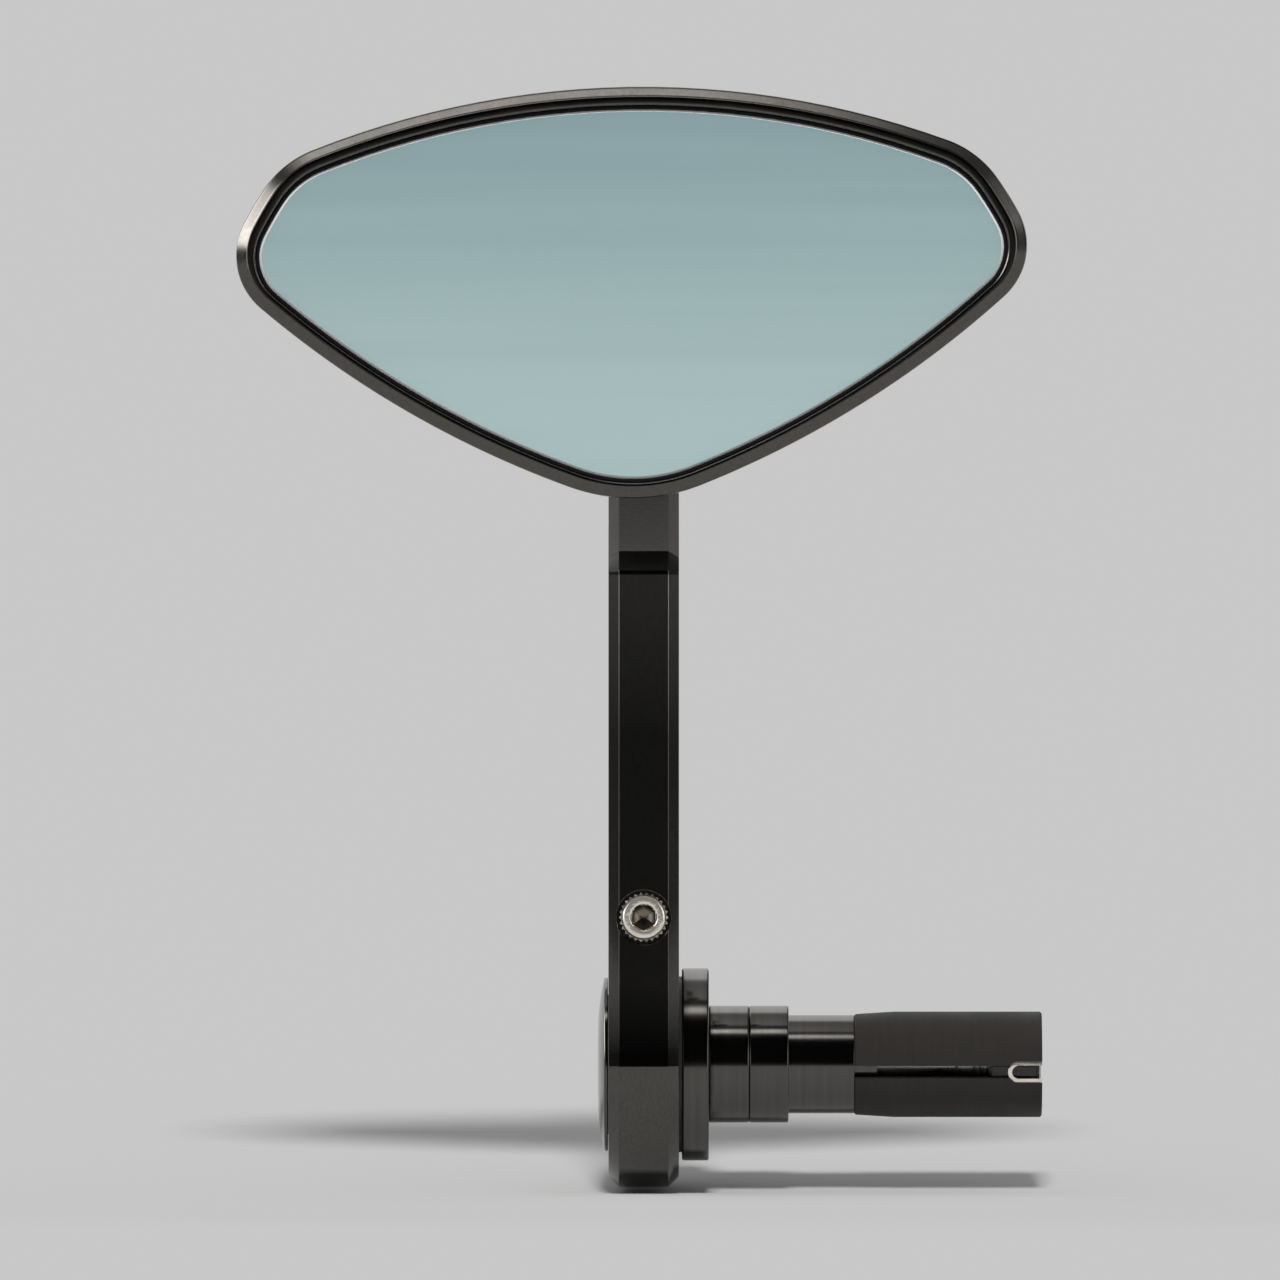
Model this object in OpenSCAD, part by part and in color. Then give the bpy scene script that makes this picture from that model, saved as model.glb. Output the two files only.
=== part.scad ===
// Bar-end mirror: expanding bar plug, clamped arm and a mirror head on a ball joint.
// +X runs inboard along the handlebar, +Y away from the rider, +Z up.
// The origin is on the bar axis, on the shoulder face that meets the end of the bar.

/* [Arm] */
// Width of the arm along the bar axis
arm_w = 12; // [10:0.5:14]
// Thickness of the straight arm, front to back
arm_t = 12; // [11:0.5:14]
// Thickness of the sloped part of the arm
slope_t = 10; // [8:0.5:11]
// Thickness of the upright top of the arm
top_t = 9; // [7:0.5:10]
// Height at which the front face starts to lean back
bend_z = 83.5; // [70:0.5:90]
// Lean of the sloped part, from upright
bend_angle = 44; // [35:1:50]
// Radius of the outer side of each bend
bend_outer_r = 6.6; // [5:0.2:8]
// Radius of the inner side of each bend
bend_inner_r = 8; // [6:0.5:10]
// Chamfer along both long edges of the arm
arm_chamfer = 1.8; // [1:0.1:2.2]
// Height of the ball joint above the bar axis
ball_z = 132; // [126:0.5:138]
// Distance of the upright top's front face in front of the bar axis
top_front = 4.5; // [3:0.5:6]

/* [Eye clamp] */
// Outer radius of the arm's eye
eye_r = 21; // [20:0.5:23]
// Radius of the hub spigot that the eye turns on
spigot_r = 12; // [11:0.5:13]
// Running clearance round the spigot
spigot_fit = 0.05; // [0.02:0.01:0.1]
// Width of the clamp slit in the eye
eye_slit = 1.5; // [1:0.1:2]
// Thickness of the clamping lug behind the slit
lug_t = 5.25; // [4.5:0.25:6]
// Height of the lug's top
lug_top = 34; // [32:0.5:36]
// Height of the pinch screw
pinch_z = 25.3; // [24.5:0.1:26.5]
// Radius of the pinch screw's thread
pinch_r = 2.5; // [2:0.1:2.6]
// Radius of the pinch screw's head
pinch_head_r = 4.25; // [4:0.05:4.6]
// Height of the pinch screw's head
pinch_head_h = 5; // [4:0.25:5.5]
// Depth of the pinch screw's head below the arm's front face
pinch_sink = 0.7; // [0.4:0.1:1.5]

/* [Bar plug] */
// Radius of the expanding sleeve
sleeve_r = 9; // [8.8:0.1:9.6]
// Length of the expanding sleeve
sleeve_len = 32; // [28:1:40]
// Bore radius of the expanding sleeve
sleeve_bore_r = 6.2; // [5.8:0.1:6.6]
// Length of the sleeve's lead taper
lead_len = 6.8; // [4:0.2:8]
// Drop in radius over the sleeve's lead taper
lead_drop = 0.4; // [0.2:0.1:0.5]
// Width of the sleeve's long slit
slit_w = 2.2; // [1.8:0.1:2.4]
// Turn of the slit below the front of the sleeve
slit_turn = 8; // [0:1:20]
// Length of the wide slot at the sleeve's free end
end_slot_len = 5.9; // [5:0.1:8]
// Width of the wide slot at the sleeve's free end
end_slot_w = 3.8; // [3.4:0.1:4.2]
// Wall of the bright clip in the wide slot
clip_wall = 0.7; // [0.5:0.05:0.8]
// Radial height of the bright clip
clip_h = 0.85; // [0.6:0.05:0.9]
// How far the clip lies below the sleeve's surface
clip_sink = 0.3; // [0.2:0.05:0.5]
// Length of the cone seat inside the sleeve
cone_seat_len = 10; // [8:0.5:12]
// Growth in radius over the cone seat
cone_rise = 1.6; // [1.2:0.1:1.7]
// Gap between the cone nut and its seat
cone_gap = 0.3; // [0.2:0.05:0.5]
// Length of the cone nut
cone_len = 8.5; // [7:0.5:10]
// Width of the cone nut's key in the slit
cone_key_w = 1.6; // [1.2:0.1:1.7]

/* [Bush and spacer] */
// Radius of the shoulder and of the spacer
barrel_r = 10; // [9.8:0.1:11.5]
// Length of the shoulder
shoulder_len = 6.7; // [5:0.1:9]
// Length of the spacer
spacer_len = 6.9; // [5:0.1:10]
// Radius of the neck between shoulder and sleeve
neck_r = 8.4; // [7.8:0.1:8.5]
// Length of the neck
neck_len = 11.2; // [8:0.2:14]
// Length of the nose that centres the sleeve
nose_len = 4; // [3:0.5:5]
// Radius of the pilot inside the spacer
pilot_r = 6; // [5.5:0.1:6.6]
// Chamfer on the turned edges
turned_chamfer = 0.3; // [0.2:0.05:0.5]

/* [Hub and cap] */
// Radius of the hub flange
flange_r = 16.4; // [15.5:0.1:18]
// Thickness of the hub flange
flange_len = 4.6; // [3.5:0.1:6]
// Thickness of the thrust washer
thrust_t = 0.5; // [0.4:0.1:1]
// Radius of the thrust washer
thrust_r = 15; // [14:0.2:15.4]
// Distance of the domed cap's edge inside the arm's eye
cap_inset = 6.2; // [5:0.1:7]
// Height of the cap's dome
cap_dome = 1.7; // [1.2:0.1:2.5]
// Radius of the cap's skirt
skirt_r = 8; // [7.4:0.1:8.4]
// Length of the cap's skirt
skirt_len = 2; // [1.5:0.1:2.5]
// Depth of the bolt seat in the hub
seat_depth = 5.8; // [5:0.1:7]

/* [Fasteners] */
// Thread radius of the plug bolt
bolt_r = 3; // [2.5:0.1:3]
// Head radius of the plug bolt
bolt_head_r = 5; // [4.5:0.1:5.2]
// Head height of the plug bolt
bolt_head_h = 6; // [5:0.25:6.5]
// Length of the plug bolt past its sleeve
bolt_proud = 0.8; // [0.5:0.1:2]
// Thickness of the bolt washer
washer_t = 1; // [0.8:0.1:1.2]
// Radial clearance of a bolt in its plain hole
bolt_clear = 0.3; // [0.2:0.05:0.4]
// Radial clearance between a thread and its tapped hole
thread_clear = 0.05; // [0.03:0.01:0.1]

/* [Mirror outline] */
// Overall width of the glass
glass_w = 126.08; // [110:1:140]
// Radius of the pointed tips
tip_r = 8.22; // [7:0.1:10]
// Height of the tips' centres, from the outline's own zero
tip_w = -9.03; // [-10.5:0.1:-8]
// Sideways distance of the upper corners' centres inside the tips' centres
shoulder_inset = 7.62; // [6:0.1:9]
// Height of the upper corners' centres
shoulder_w = -7.66; // [-8.5:0.1:-7]
// Radius of the upper corners
shoulder_r = 14.06; // [13:0.1:15]
// Radius of the bottom corner
low_r = 27.51; // [24:0.5:32]
// Height of the bottom corner's centre
low_w = -19.96; // [-24:0.5:-18]
// Radius of the top edge
top_edge_r = 146.2; // [130:1:180]
// Radius of the two short side edges
side_edge_r = 58.3; // [50:1:75]
// Radius of the two long lower edges
lower_edge_r = 166.5; // [140:1:220]

/* [Mirror head] */
// Turn of the head on the ball, right side up
head_roll = 0.93; // [-3:0.1:3]
// Sideways place of the ball joint behind the glass
ball_u = 1.95; // [-3:0.1:3]
// Height of the ball joint in the outline's own frame
ball_w = -15.2; // [-18:0.2:-12]
// Depth of the ball's centre behind the rim's front
ball_depth = 14.3; // [14:0.1:16]
// Width of the rim outside the glass
rim_w = 3.55; // [3:0.05:4.5]
// Depth of the rim, front to back
rim_depth = 6.5; // [6:0.1:8]
// Depth of the whole shell at the middle of its back
shell_depth = 11; // [10:0.1:12]
// Wall of the hollow shell
shell_wall = 2; // [1.5:0.1:2.5]
// Width of the ledge that carries the glass
ledge_w = 4; // [3:0.5:5]
// Thickness of the mirror glass
glass_t = 2; // [1.6:0.1:2.4]
// Depth of the glass edge behind the rim's front
glass_sink = 1.3; // [1.1:0.1:1.6]
// Bulge of the glass at its middle
glass_sag = 1; // [0:0.1:1.1]
// Width of the black seal round the glass
seal_w = 0.6; // [0.4:0.05:0.8]
// Thickness of the backing pad
pad_t = 1; // [0.6:0.1:1.2]

/* [Ball joint] */
// Radius of the ball
ball_r = 7; // [6.5:0.1:7.2]
// Wall of the seat cup
seat_wall = 1.5; // [1.2:0.1:1.6]
// Running clearance on both sides of the seat cup
ball_fit = 0.1; // [0.05:0.01:0.12]
// Radius of the stud's neck
stud_neck_r = 3.2; // [3:0.1:3.4]
// Radius of the stud's flange
stud_flange_r = 6.2; // [5.6:0.1:7]
// Thickness of the stud's flange
stud_flange_t = 1.5; // [1:0.1:2]
// Thread radius of the stud
stud_r = 3; // [2.5:0.1:3.1]
// Distance of the ball's centre in front of the arm
ball_reach = 14.2; // [13.5:0.1:16]
// Radius of the boss and of the retaining ring
boss_r = 13; // [12.6:0.1:14.5]
// Thickness of the retaining ring
ring_t = 2.8; // [2.6:0.1:3.2]
// Opening radius of the retaining ring
ring_lip_r = 5.9; // [5.7:0.1:6.1]
// Thread radius of the ring screws
ring_screw_r = 0.9; // [0.8:0.05:1.1]
// Head radius of the ring screws
ring_screw_head_r = 1.9; // [1.6:0.05:2]
// Length of the ring screws
ring_screw_len = 7; // [6:0.5:8]
// Number of ring screws
ring_screw_n = 3; // [3:1:6]

/* [Hidden] */
$fn = 96;
past = 1;                                         // how far a cut runs past its face

// Places along the bar, worked out from the stack of lengths
spacer_x = -(shoulder_len + spacer_len);
flange_x = spacer_x - flange_len;
thrust_x = flange_x - thrust_t;
arm_x = thrust_x - arm_w / 2;
end_gap = 0.1;                                    // side play of the arm under the cap
spigot_x = thrust_x - arm_w - end_gap;
cap_r = eye_r - cap_inset;
sleeve_x = neck_len;
sleeve_end = sleeve_x + sleeve_len;
seat_x = spigot_x + seat_depth;
pilot_gap = 0.1;                                  // pilot stops short of the flange
slide_fit = 0.05;                                 // radial gap of parts that slide together
cone_clear = 0.5;                                 // how far the nut sits inside the sleeve
bolt_af = 5;                                      // across the flats of the bolt's socket

// The arm's outline, seen along the bar axis as [y, z]
front_y = -eye_r;
rear_y = front_y + arm_t;
top_rear_y = -top_front + top_t;
arm_top = ball_z + arm_w / 2;
slit_y = 0;
lug_y = slit_y + eye_slit / 2 + lug_t;
lug_corner_r = 3;
web_r = 3;                                        // fillet between the lug and the arm
eye_fillet_r = 4;
eye_fillet_y = lug_y + eye_fillet_r;
eye_fillet_z = sqrt(pow(eye_r + eye_fillet_r, 2) - pow(eye_fillet_y, 2));
eye_fillet_a = atan2(eye_fillet_z, eye_fillet_y);
lean = [sin(bend_angle), cos(bend_angle)];
lean_out = [cos(bend_angle), -sin(bend_angle)];
low_outer = [front_y + bend_outer_r, bend_z];
front_slope = low_outer - bend_outer_r * lean_out;
rear_slope = front_slope + slope_t * lean_out;
// A bend centre lies at y, at r from the slope line through p: s is the side of the line
function bend_centre(p, y, r, s) = let (q = p + s * r * lean_out)
    [y, q.y + (y - q.x) * lean.y / lean.x];
low_inner = bend_centre(rear_slope, rear_y + bend_inner_r, bend_inner_r, 1);
high_outer = bend_centre(rear_slope, top_rear_y - bend_outer_r, bend_outer_r, -1);
high_inner = bend_centre(front_slope, -top_front - bend_inner_r, bend_inner_r, -1);

// The pinch screw
pinch_seat_y = front_y + pinch_sink + pinch_head_h;
pinch_short = 0.8;                                // how far the screw stops inside the lug
pinch_end_y = lug_y - pinch_short;
pinch_pocket = 0.4;                               // room round the screw's head
pinch_bore_r = pinch_head_r + pinch_pocket;
pinch_af = 4;                                     // across the flats of its socket
pinch_socket = 2.6;

// The ball joint, in the part's own frame
ball_y = -top_front - ball_reach;
recess_r = ball_r + seat_wall + 2 * ball_fit;
ring_y = 2.2;                                     // the ring starts this far behind the ball's centre
boss_wall = 1.3;
seat_front = -6.8;                                // the cup's ends, from the ball's centre
seat_rear = -1.2;
ring_screw_inset = 0.25;
ring_screw_pcr = (recess_r + boss_r) / 2 - ring_screw_inset;
ring_screw_low = 0.2;                             // the heads sit this far below the ring's face
ring_screw_hex_r = 0.9;
stud_hex_r = 2.3;                                 // socket in the front of the ball
stud_hex_h = 3;
stud_end = 0.5;                                   // how far the stud runs up into the nut's dome
stud_washer_t = 1;
nut_af = 10;                                      // across the stud nut's flats
nut_h = 5;
nut_dome_r = 4.4;
nut_dome_low = 1;                                 // the dome's centre is this far below the nut's top
nut_flat_r = nut_af / 2 + 0.2;                    // round face left by the nut's bevel

// The head's own frame: u to the right, w up, depth back from the rim's front
ball_at = [ball_u, ball_w];
hub_ring_r = boss_r + 2.5;
ledge_depth = glass_sink + glass_t + pad_t;
fit_gap = 0.05;                                   // gap between glass, seal and shell
pocket_off = seal_w + 2 * fit_gap;
rim_grow = 0.006;                                 // the rim's outside is a little wider and higher
rim_lift = 0.3;
corner_steps = 6;
edge_steps = 9;

function arc(c, r, a, b, n) =
    [for (i = [0:n]) let (t = a + (b - a) * i / n) c + r * [cos(t), sin(t)]];
function bearing(v) = atan2(v.y, v.x);
function after(a, b) = b < a ? b + 360 : b;
// The point at r1 from c1 and r2 from c2, on the left of the way from c1 to c2
function meet(c1, r1, c2, r2) = let (v = c2 - c1, d = norm(v), a = (r1 * r1 - r2 * r2 + d * d) / (2 * d))
    c1 + a * v / d + sqrt(max(0, r1 * r1 - a * a)) * [-v.y, v.x] / d;

tip_u = glass_w / 2 - tip_r;
shoulder_u = tip_u - shoulder_inset;
corners = [
    [[tip_u, tip_w], tip_r],
    [[shoulder_u, shoulder_w], shoulder_r],
    [[-shoulder_u, shoulder_w], shoulder_r],
    [[-tip_u, tip_w], tip_r],
    [[0, low_w], low_r],
];
edge_rs = [side_edge_r, top_edge_r, side_edge_r, lower_edge_r, lower_edge_r];
function next(i) = (i + 1) % len(corners);
function last(i) = (i + len(corners) - 1) % len(corners);
edge_cs = [for (i = [0:len(corners) - 1])
    meet(corners[i][0], edge_rs[i] - corners[i][1], corners[next(i)][0], edge_rs[i] - corners[next(i)][1])];
function corner_arc(i, off) = let (
        c = corners[i][0],
        a = bearing(c - edge_cs[last(i)]),
        b = after(a, bearing(c - edge_cs[i])))
    arc(c, corners[i][1] + off, a, b, corner_steps);
function edge_arc(i, off) = let (
        a = bearing(corners[i][0] - edge_cs[i]),
        b = after(a, bearing(corners[next(i)][0] - edge_cs[i])),
        pts = arc(edge_cs[i], edge_rs[i] + off, a, b, edge_steps))
    [for (k = [1:edge_steps - 1]) pts[k]];
// The glass outline, grown by off
function outline(off) = [for (i = [0:len(corners) - 1]) each concat(corner_arc(i, off), edge_arc(i, off))];
// The same outline at the rim's outside: part is 0 at the glass and 1 outside
function rim_line(off, part) =
    [for (p = outline(off)) [p.x * (1 + part * rim_grow), p.y + part * rim_lift]];
// Draws an outline in towards a circle of radius r about the ball
function toward(pts, r, t) =
    [for (p = pts) let (v = p - ball_at) p + t * (ball_at + r * v / norm(v) - p)];
function shrink(pts, s) = [for (p = pts) ball_at + s * (p - ball_at)];
function ring_at(pts, depth) = [for (p = pts) [p.x, depth, p.y]];

// A closed solid through rings of equal length. Its flat ends are one face each, or the
// triangles that cap lists
module skin(rings, cap = []) {
    n = len(rings[0]);
    m = len(rings);
    whole = [[for (j = [0:n - 1]) j]];
    ends = len(cap) > 0 ? cap : whole;
    polyhedron(
        points = [for (r = rings) each r],
        faces = concat(
            ends,
            [for (i = [0:m - 2], j = [0:n - 1]) [i * n + j, (i + 1) * n + j, (i + 1) * n + (j + 1) % n]],
            [for (i = [0:m - 2], j = [0:n - 1]) [i * n + j, (i + 1) * n + (j + 1) % n, i * n + (j + 1) % n]],
            [for (f = ends) [for (k = [len(f) - 1:-1:0]) (m - 1) * n + f[k]]]));
}

module along_x(x) { translate([x, 0, 0]) rotate([0, 90, 0]) children(); }
module along_y(y) { translate([0, y, 0]) rotate([-90, 0, 0]) children(); }
module rod_x(x0, x1, r) { along_x(x0) cylinder(r = r, h = x1 - x0); }
module rod_y(y0, y1, r) { along_y(y0) cylinder(r = r, h = y1 - y0); }
// A turned solid about the bar axis, from points [radius, x]
module turned_x(pts) { rotate([0, 90, 0]) rotate_extrude() polygon(pts); }
// A turned rod with chamfered ends
module barrel_x(x0, x1, r, c) {
    turned_x([[0, x0], [r - c, x0], [r, x0 + c], [r, x1 - c], [r - c, x1], [0, x1]]);
}
module at_slit() { rotate([slit_turn, 0, 0]) children(); }
module at_ball() { translate([arm_x, ball_y, ball_z]) children(); }
module in_head() {
    at_ball() rotate([0, -head_roll, 0]) translate([-ball_u, -ball_depth, -ball_w]) children();
}
module at_head_ball() { at_ball() rotate([0, -head_roll, 0]) children(); }
module at_ring_screws() {
    for (i = [0:ring_screw_n - 1]) rotate([0, 360 / ring_screw_n * i + 30, 0])
        translate([ring_screw_pcr, 0, 0]) children();
}

// A slot through the sleeve's wall at the front, from x0 to x1
module wall_slot(x0, x1, w, r0, r1) {
    at_slit() translate([x0, -r1, -w / 2]) cube([x1 - x0, r1 - r0, w]);
}

module split_sleeve() {
    seat_start = sleeve_end - cone_seat_len;
    round_r = end_slot_w / 2;
    color("dimgray") difference() {
        turned_x([
            [sleeve_bore_r, sleeve_x],
            [sleeve_r - lead_drop - turned_chamfer, sleeve_x],
            [sleeve_r - lead_drop, sleeve_x + turned_chamfer],
            [sleeve_r, sleeve_x + lead_len],
            [sleeve_r, sleeve_end - turned_chamfer],
            [sleeve_r - turned_chamfer, sleeve_end],
            [sleeve_bore_r + cone_rise, sleeve_end],
            [sleeve_bore_r, seat_start],
        ]);
        wall_slot(sleeve_x - past, sleeve_end + past, slit_w, 0, sleeve_r + past);
        wall_slot(sleeve_end - end_slot_len + round_r, sleeve_end + past, end_slot_w, 0, sleeve_r + past);
        at_slit() translate([sleeve_end - end_slot_len + round_r, 0, 0])
            rod_y(-sleeve_r - past, 0, round_r);
    }
}

// The bright bent strip that lines the end slot
module slot_clip() {
    outer_r = end_slot_w / 2 - slide_fit;
    inner_r = outer_r - clip_wall;
    x0 = sleeve_end - end_slot_len + end_slot_w / 2;
    face_r = sleeve_r - clip_sink;
    color("whitesmoke") intersection() {
        difference() {
            at_slit() union() {
                translate([x0, 0, 0]) rod_y(-sleeve_r, 0, outer_r);
                translate([x0, -sleeve_r, -outer_r]) cube([sleeve_end - x0, sleeve_r, 2 * outer_r]);
            }
            at_slit() union() {
                translate([x0, 0, 0]) rod_y(-sleeve_r - past, past, inner_r);
                translate([x0, -sleeve_r - past, -inner_r])
                    cube([sleeve_end - x0 + past, sleeve_r + 2 * past, 2 * inner_r]);
            }
        }
        difference() {
            rod_x(sleeve_x, sleeve_end, face_r);
            rod_x(sleeve_x - past, sleeve_end + past, face_r - clip_h);
        }
    }
}

// The cone that the bolt draws into the sleeve; its key stops it turning
module cone_nut() {
    x1 = sleeve_end - cone_clear;
    x0 = x1 - cone_len;
    slope = cone_rise / cone_seat_len;
    seat_start = sleeve_end - cone_seat_len;
    key_inset = 0.5;
    key_r = sleeve_r - clip_sink - clip_h - cone_gap;
    r0 = sleeve_bore_r + slope * (x0 - seat_start) - cone_gap;
    r1 = sleeve_bore_r + slope * (x1 - seat_start) - cone_gap;
    color("silver") difference() {
        union() {
            turned_x([[0, x0], [r0, x0], [r1, x1], [0, x1]]);
            wall_slot(x0 + key_inset, x1 - key_inset, cone_key_w, bolt_r + 1, key_r);
        }
        rod_x(x0 - past, x1 + past, bolt_r + thread_clear);
    }
}

module shoulder_bush() {
    pilot_x = spacer_x + pilot_gap;
    nose_r = sleeve_bore_r - slide_fit;
    color([0.11, 0.11, 0.10]) difference() {
        turned_x([
            [0, pilot_x],
            [pilot_r, pilot_x],
            [pilot_r, -shoulder_len],
            [barrel_r - turned_chamfer, -shoulder_len],
            [barrel_r, turned_chamfer - shoulder_len],
            [barrel_r, -turned_chamfer],
            [barrel_r - turned_chamfer, 0],
            [neck_r, 0],
            [neck_r, neck_len],
            [nose_r, neck_len],
            [nose_r, neck_len + nose_len - turned_chamfer],
            [nose_r - turned_chamfer, neck_len + nose_len],
            [0, neck_len + nose_len],
        ]);
        rod_x(pilot_x - past, neck_len + nose_len + past, bolt_r + bolt_clear);
    }
}

module outer_spacer() {
    color([0.11, 0.11, 0.10]) difference() {
        barrel_x(spacer_x, -shoulder_len, barrel_r, turned_chamfer);
        rod_x(spacer_x - past, past - shoulder_len, pilot_r + slide_fit);
    }
}

module spigot_hub() {
    color([0.12, 0.12, 0.11]) difference() {
        union() {
            rod_x(spigot_x, flange_x + turned_chamfer, spigot_r);
            barrel_x(flange_x, spacer_x, flange_r, turned_chamfer);
        }
        rod_x(spigot_x - past, spacer_x + past, bolt_r + bolt_clear);
        rod_x(spigot_x - past, seat_x, bolt_head_r + bolt_clear);
        rod_x(spigot_x - past, spigot_x + skirt_len + 2 * slide_fit, skirt_r + slide_fit);
    }
}

module thrust_washer() {
    color("wheat") difference() {
        rod_x(thrust_x, flange_x, thrust_r);
        rod_x(thrust_x - past, flange_x + past, spigot_r + spigot_fit);
    }
}

// The domed cap that keeps the arm on its spigot
module hub_cap() {
    hole_r = bolt_head_r + bolt_clear;
    edge_t = 0.6;
    dome_r = (pow(cap_r - hole_r, 2) + pow(cap_dome - edge_t, 2)) / (2 * (cap_dome - edge_t));
    dome_c = [hole_r, spigot_x - cap_dome + dome_r];
    dome_a = asin((cap_r - hole_r) / dome_r);
    color([0.10, 0.10, 0.10]) turned_x(concat(
        [[cap_r, spigot_x]],
        arc(dome_c, dome_r, dome_a - 90, -90, 10),
        [[hole_r, spigot_x + skirt_len], [skirt_r, spigot_x + skirt_len], [skirt_r, spigot_x]]));
}

// A socket head: z runs from the head's top down to its seat
module socket_head(r, h, af, depth) {
    edge = 0.5;
    difference() {
        rotate_extrude() polygon([[0, 0], [r - edge, 0], [r, edge], [r, h], [0, h]]);
        translate([0, 0, -past]) cylinder(r = af / sqrt(3), h = depth + past, $fn = 6);
    }
}

module plug_bolt() {
    head_x = seat_x - washer_t - bolt_head_h;
    color("silver") {
        along_x(head_x) socket_head(bolt_head_r, bolt_head_h, bolt_af, bolt_head_h / 2);
        barrel_x(head_x + bolt_head_h - past, sleeve_end + bolt_proud, bolt_r, turned_chamfer);
    }
}

module bolt_washer() {
    color("silver") difference() {
        rod_x(seat_x - washer_t, seat_x, bolt_head_r + bolt_clear - slide_fit);
        rod_x(seat_x - washer_t - past, seat_x + past, bolt_r + thread_clear);
    }
}

// Points between p and q
function between(p, q, n) = [for (i = [1:n - 1]) p + (q - p) * i / n];
// The arm's side outline as [y, z], drawn in by cut: its rear from the eye's bottom to the top
function arm_rear(cut) = let (
        low = arc(low_inner, bend_inner_r + cut, 180, 180 - bend_angle, 7),
        high = arc(high_outer, bend_outer_r - cut, -bend_angle, 0, 7),
        web = arc([rear_y + web_r, lug_top + web_r], web_r + cut, 270, 180, 5),
        top = [top_rear_y - cut, arm_top + past])
    concat(
        arc([0, 0], eye_r - cut, 270, 360 + eye_fillet_a, 28),
        arc([eye_fillet_y, eye_fillet_z], eye_fillet_r + cut, 180 + eye_fillet_a, 180, 5),
        arc([lug_y - lug_corner_r, lug_top - lug_corner_r], lug_corner_r - cut, 0, 90, 5),
        web, between(web[5], low[0], 4), low, high, between(high[7], top, 3), [top]);
// and its front from the top to the eye's bottom
function arm_front(cut) = let (
        top = [cut - top_front, arm_top + past],
        high = arc(high_inner, bend_inner_r + cut, 0, -bend_angle, 7),
        low = arc(low_outer, bend_outer_r - cut, 180 - bend_angle, 180, 7),
        eye = arc([0, 0], eye_r - cut, 180, 270, 16))
    concat([top], between(top, high[0], 3), high, low, between(low[7], eye[0], 6),
        [for (i = [0:15]) eye[i]]);
function arm_ring(x, cut) = [for (p = concat(arm_rear(cut), arm_front(cut))) [x, p.x, p.y]];
// Triangles across the arm's side, from the foot of the chains a and b upwards
function zip_up(pts, a, b, i = 0, j = 0) = let (
        high_a = i + 1 < len(a) ? pts[a[i + 1]].z : 2 * arm_top,
        high_b = j + 1 < len(b) ? pts[b[j + 1]].z : 2 * arm_top)
    i + 1 == len(a) && j + 1 == len(b) ? []
    : high_a < high_b ? concat([[b[j], a[i], a[i + 1]]], zip_up(pts, a, b, i + 1, j))
    : concat([[b[j], a[i], b[j + 1]]], zip_up(pts, a, b, i, j + 1));

module arm() {
    x0 = arm_x - arm_w / 2;
    x1 = arm_x + arm_w / 2;
    side = arm_ring(x0, arm_chamfer);
    rear_n = len(arm_rear(arm_chamfer));
    rear_chain = [for (i = [0:rear_n - 1]) i];
    front_chain = [for (i = [len(side) - 1:-1:rear_n]) i];
    color([0.12, 0.12, 0.11]) difference() {
        skin([
            side,
            arm_ring(x0 + arm_chamfer, 0),
            arm_ring(x1 - arm_chamfer, 0),
            arm_ring(x1, arm_chamfer),
        ], zip_up(side, rear_chain, front_chain));
        // round top
        difference() {
            translate([x0 - past, -eye_r, ball_z]) cube([arm_w + 2 * past, 2 * eye_r, arm_w]);
            translate([arm_x, 0, ball_z]) rod_y(-eye_r - past, eye_r + past, arm_w / 2);
        }
        // eye bore, and the slit that lets it close
        rod_x(x0 - past, x1 + past, spigot_r + spigot_fit);
        translate([x0 - past, slit_y - eye_slit / 2, 0]) cube([arm_w + 2 * past, eye_slit, lug_top + past]);
        // pinch screw: head pocket, plain hole and tapped hole
        translate([arm_x, 0, pinch_z]) rotate([-90, 0, 0]) rotate_extrude() polygon([
            [0, front_y - past],
            [pinch_bore_r, front_y - past],
            [pinch_bore_r, pinch_seat_y],
            [pinch_r + bolt_clear, pinch_seat_y],
            [pinch_r + bolt_clear, slit_y],
            [pinch_r + thread_clear, slit_y],
            [pinch_r + thread_clear, lug_y + past],
            [0, lug_y + past],
        ]);
        // hole for the ball stud
        translate([arm_x, 0, ball_z]) rod_y(-top_front - past, top_rear_y + past, stud_r + thread_clear);
    }
}

module pinch_screw() {
    head_y = pinch_seat_y - pinch_head_h;
    color("gainsboro") translate([arm_x, 0, pinch_z]) {
        along_y(head_y) socket_head(pinch_head_r, pinch_head_h, pinch_af, pinch_socket);
        rod_y(pinch_seat_y - past, pinch_end_y, pinch_r);
    }
}

module ball_stud() {
    flange_y = ball_reach - stud_flange_t;
    end_y = ball_reach + top_t + stud_washer_t + nut_h + stud_end;
    color("silver") at_ball() {
        rotate([-90, 0, 0]) difference() {
            sphere(r = ball_r);
            translate([0, 0, -ball_r]) cylinder(r = stud_hex_r, h = stud_hex_h, $fn = 6);
        }
        rod_y(ball_r / 2, flange_y + slide_fit, stud_neck_r);
        rod_y(flange_y, ball_reach, stud_flange_r);
        rod_y(ball_reach - slide_fit, end_y, stud_r);
    }
}

module stud_washer() {
    color("silver") translate([arm_x, 0, ball_z]) difference() {
        rod_y(top_rear_y, top_rear_y + stud_washer_t, stud_flange_r);
        rod_y(top_rear_y - past, top_rear_y + stud_washer_t + past, stud_r + thread_clear);
    }
}

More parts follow.
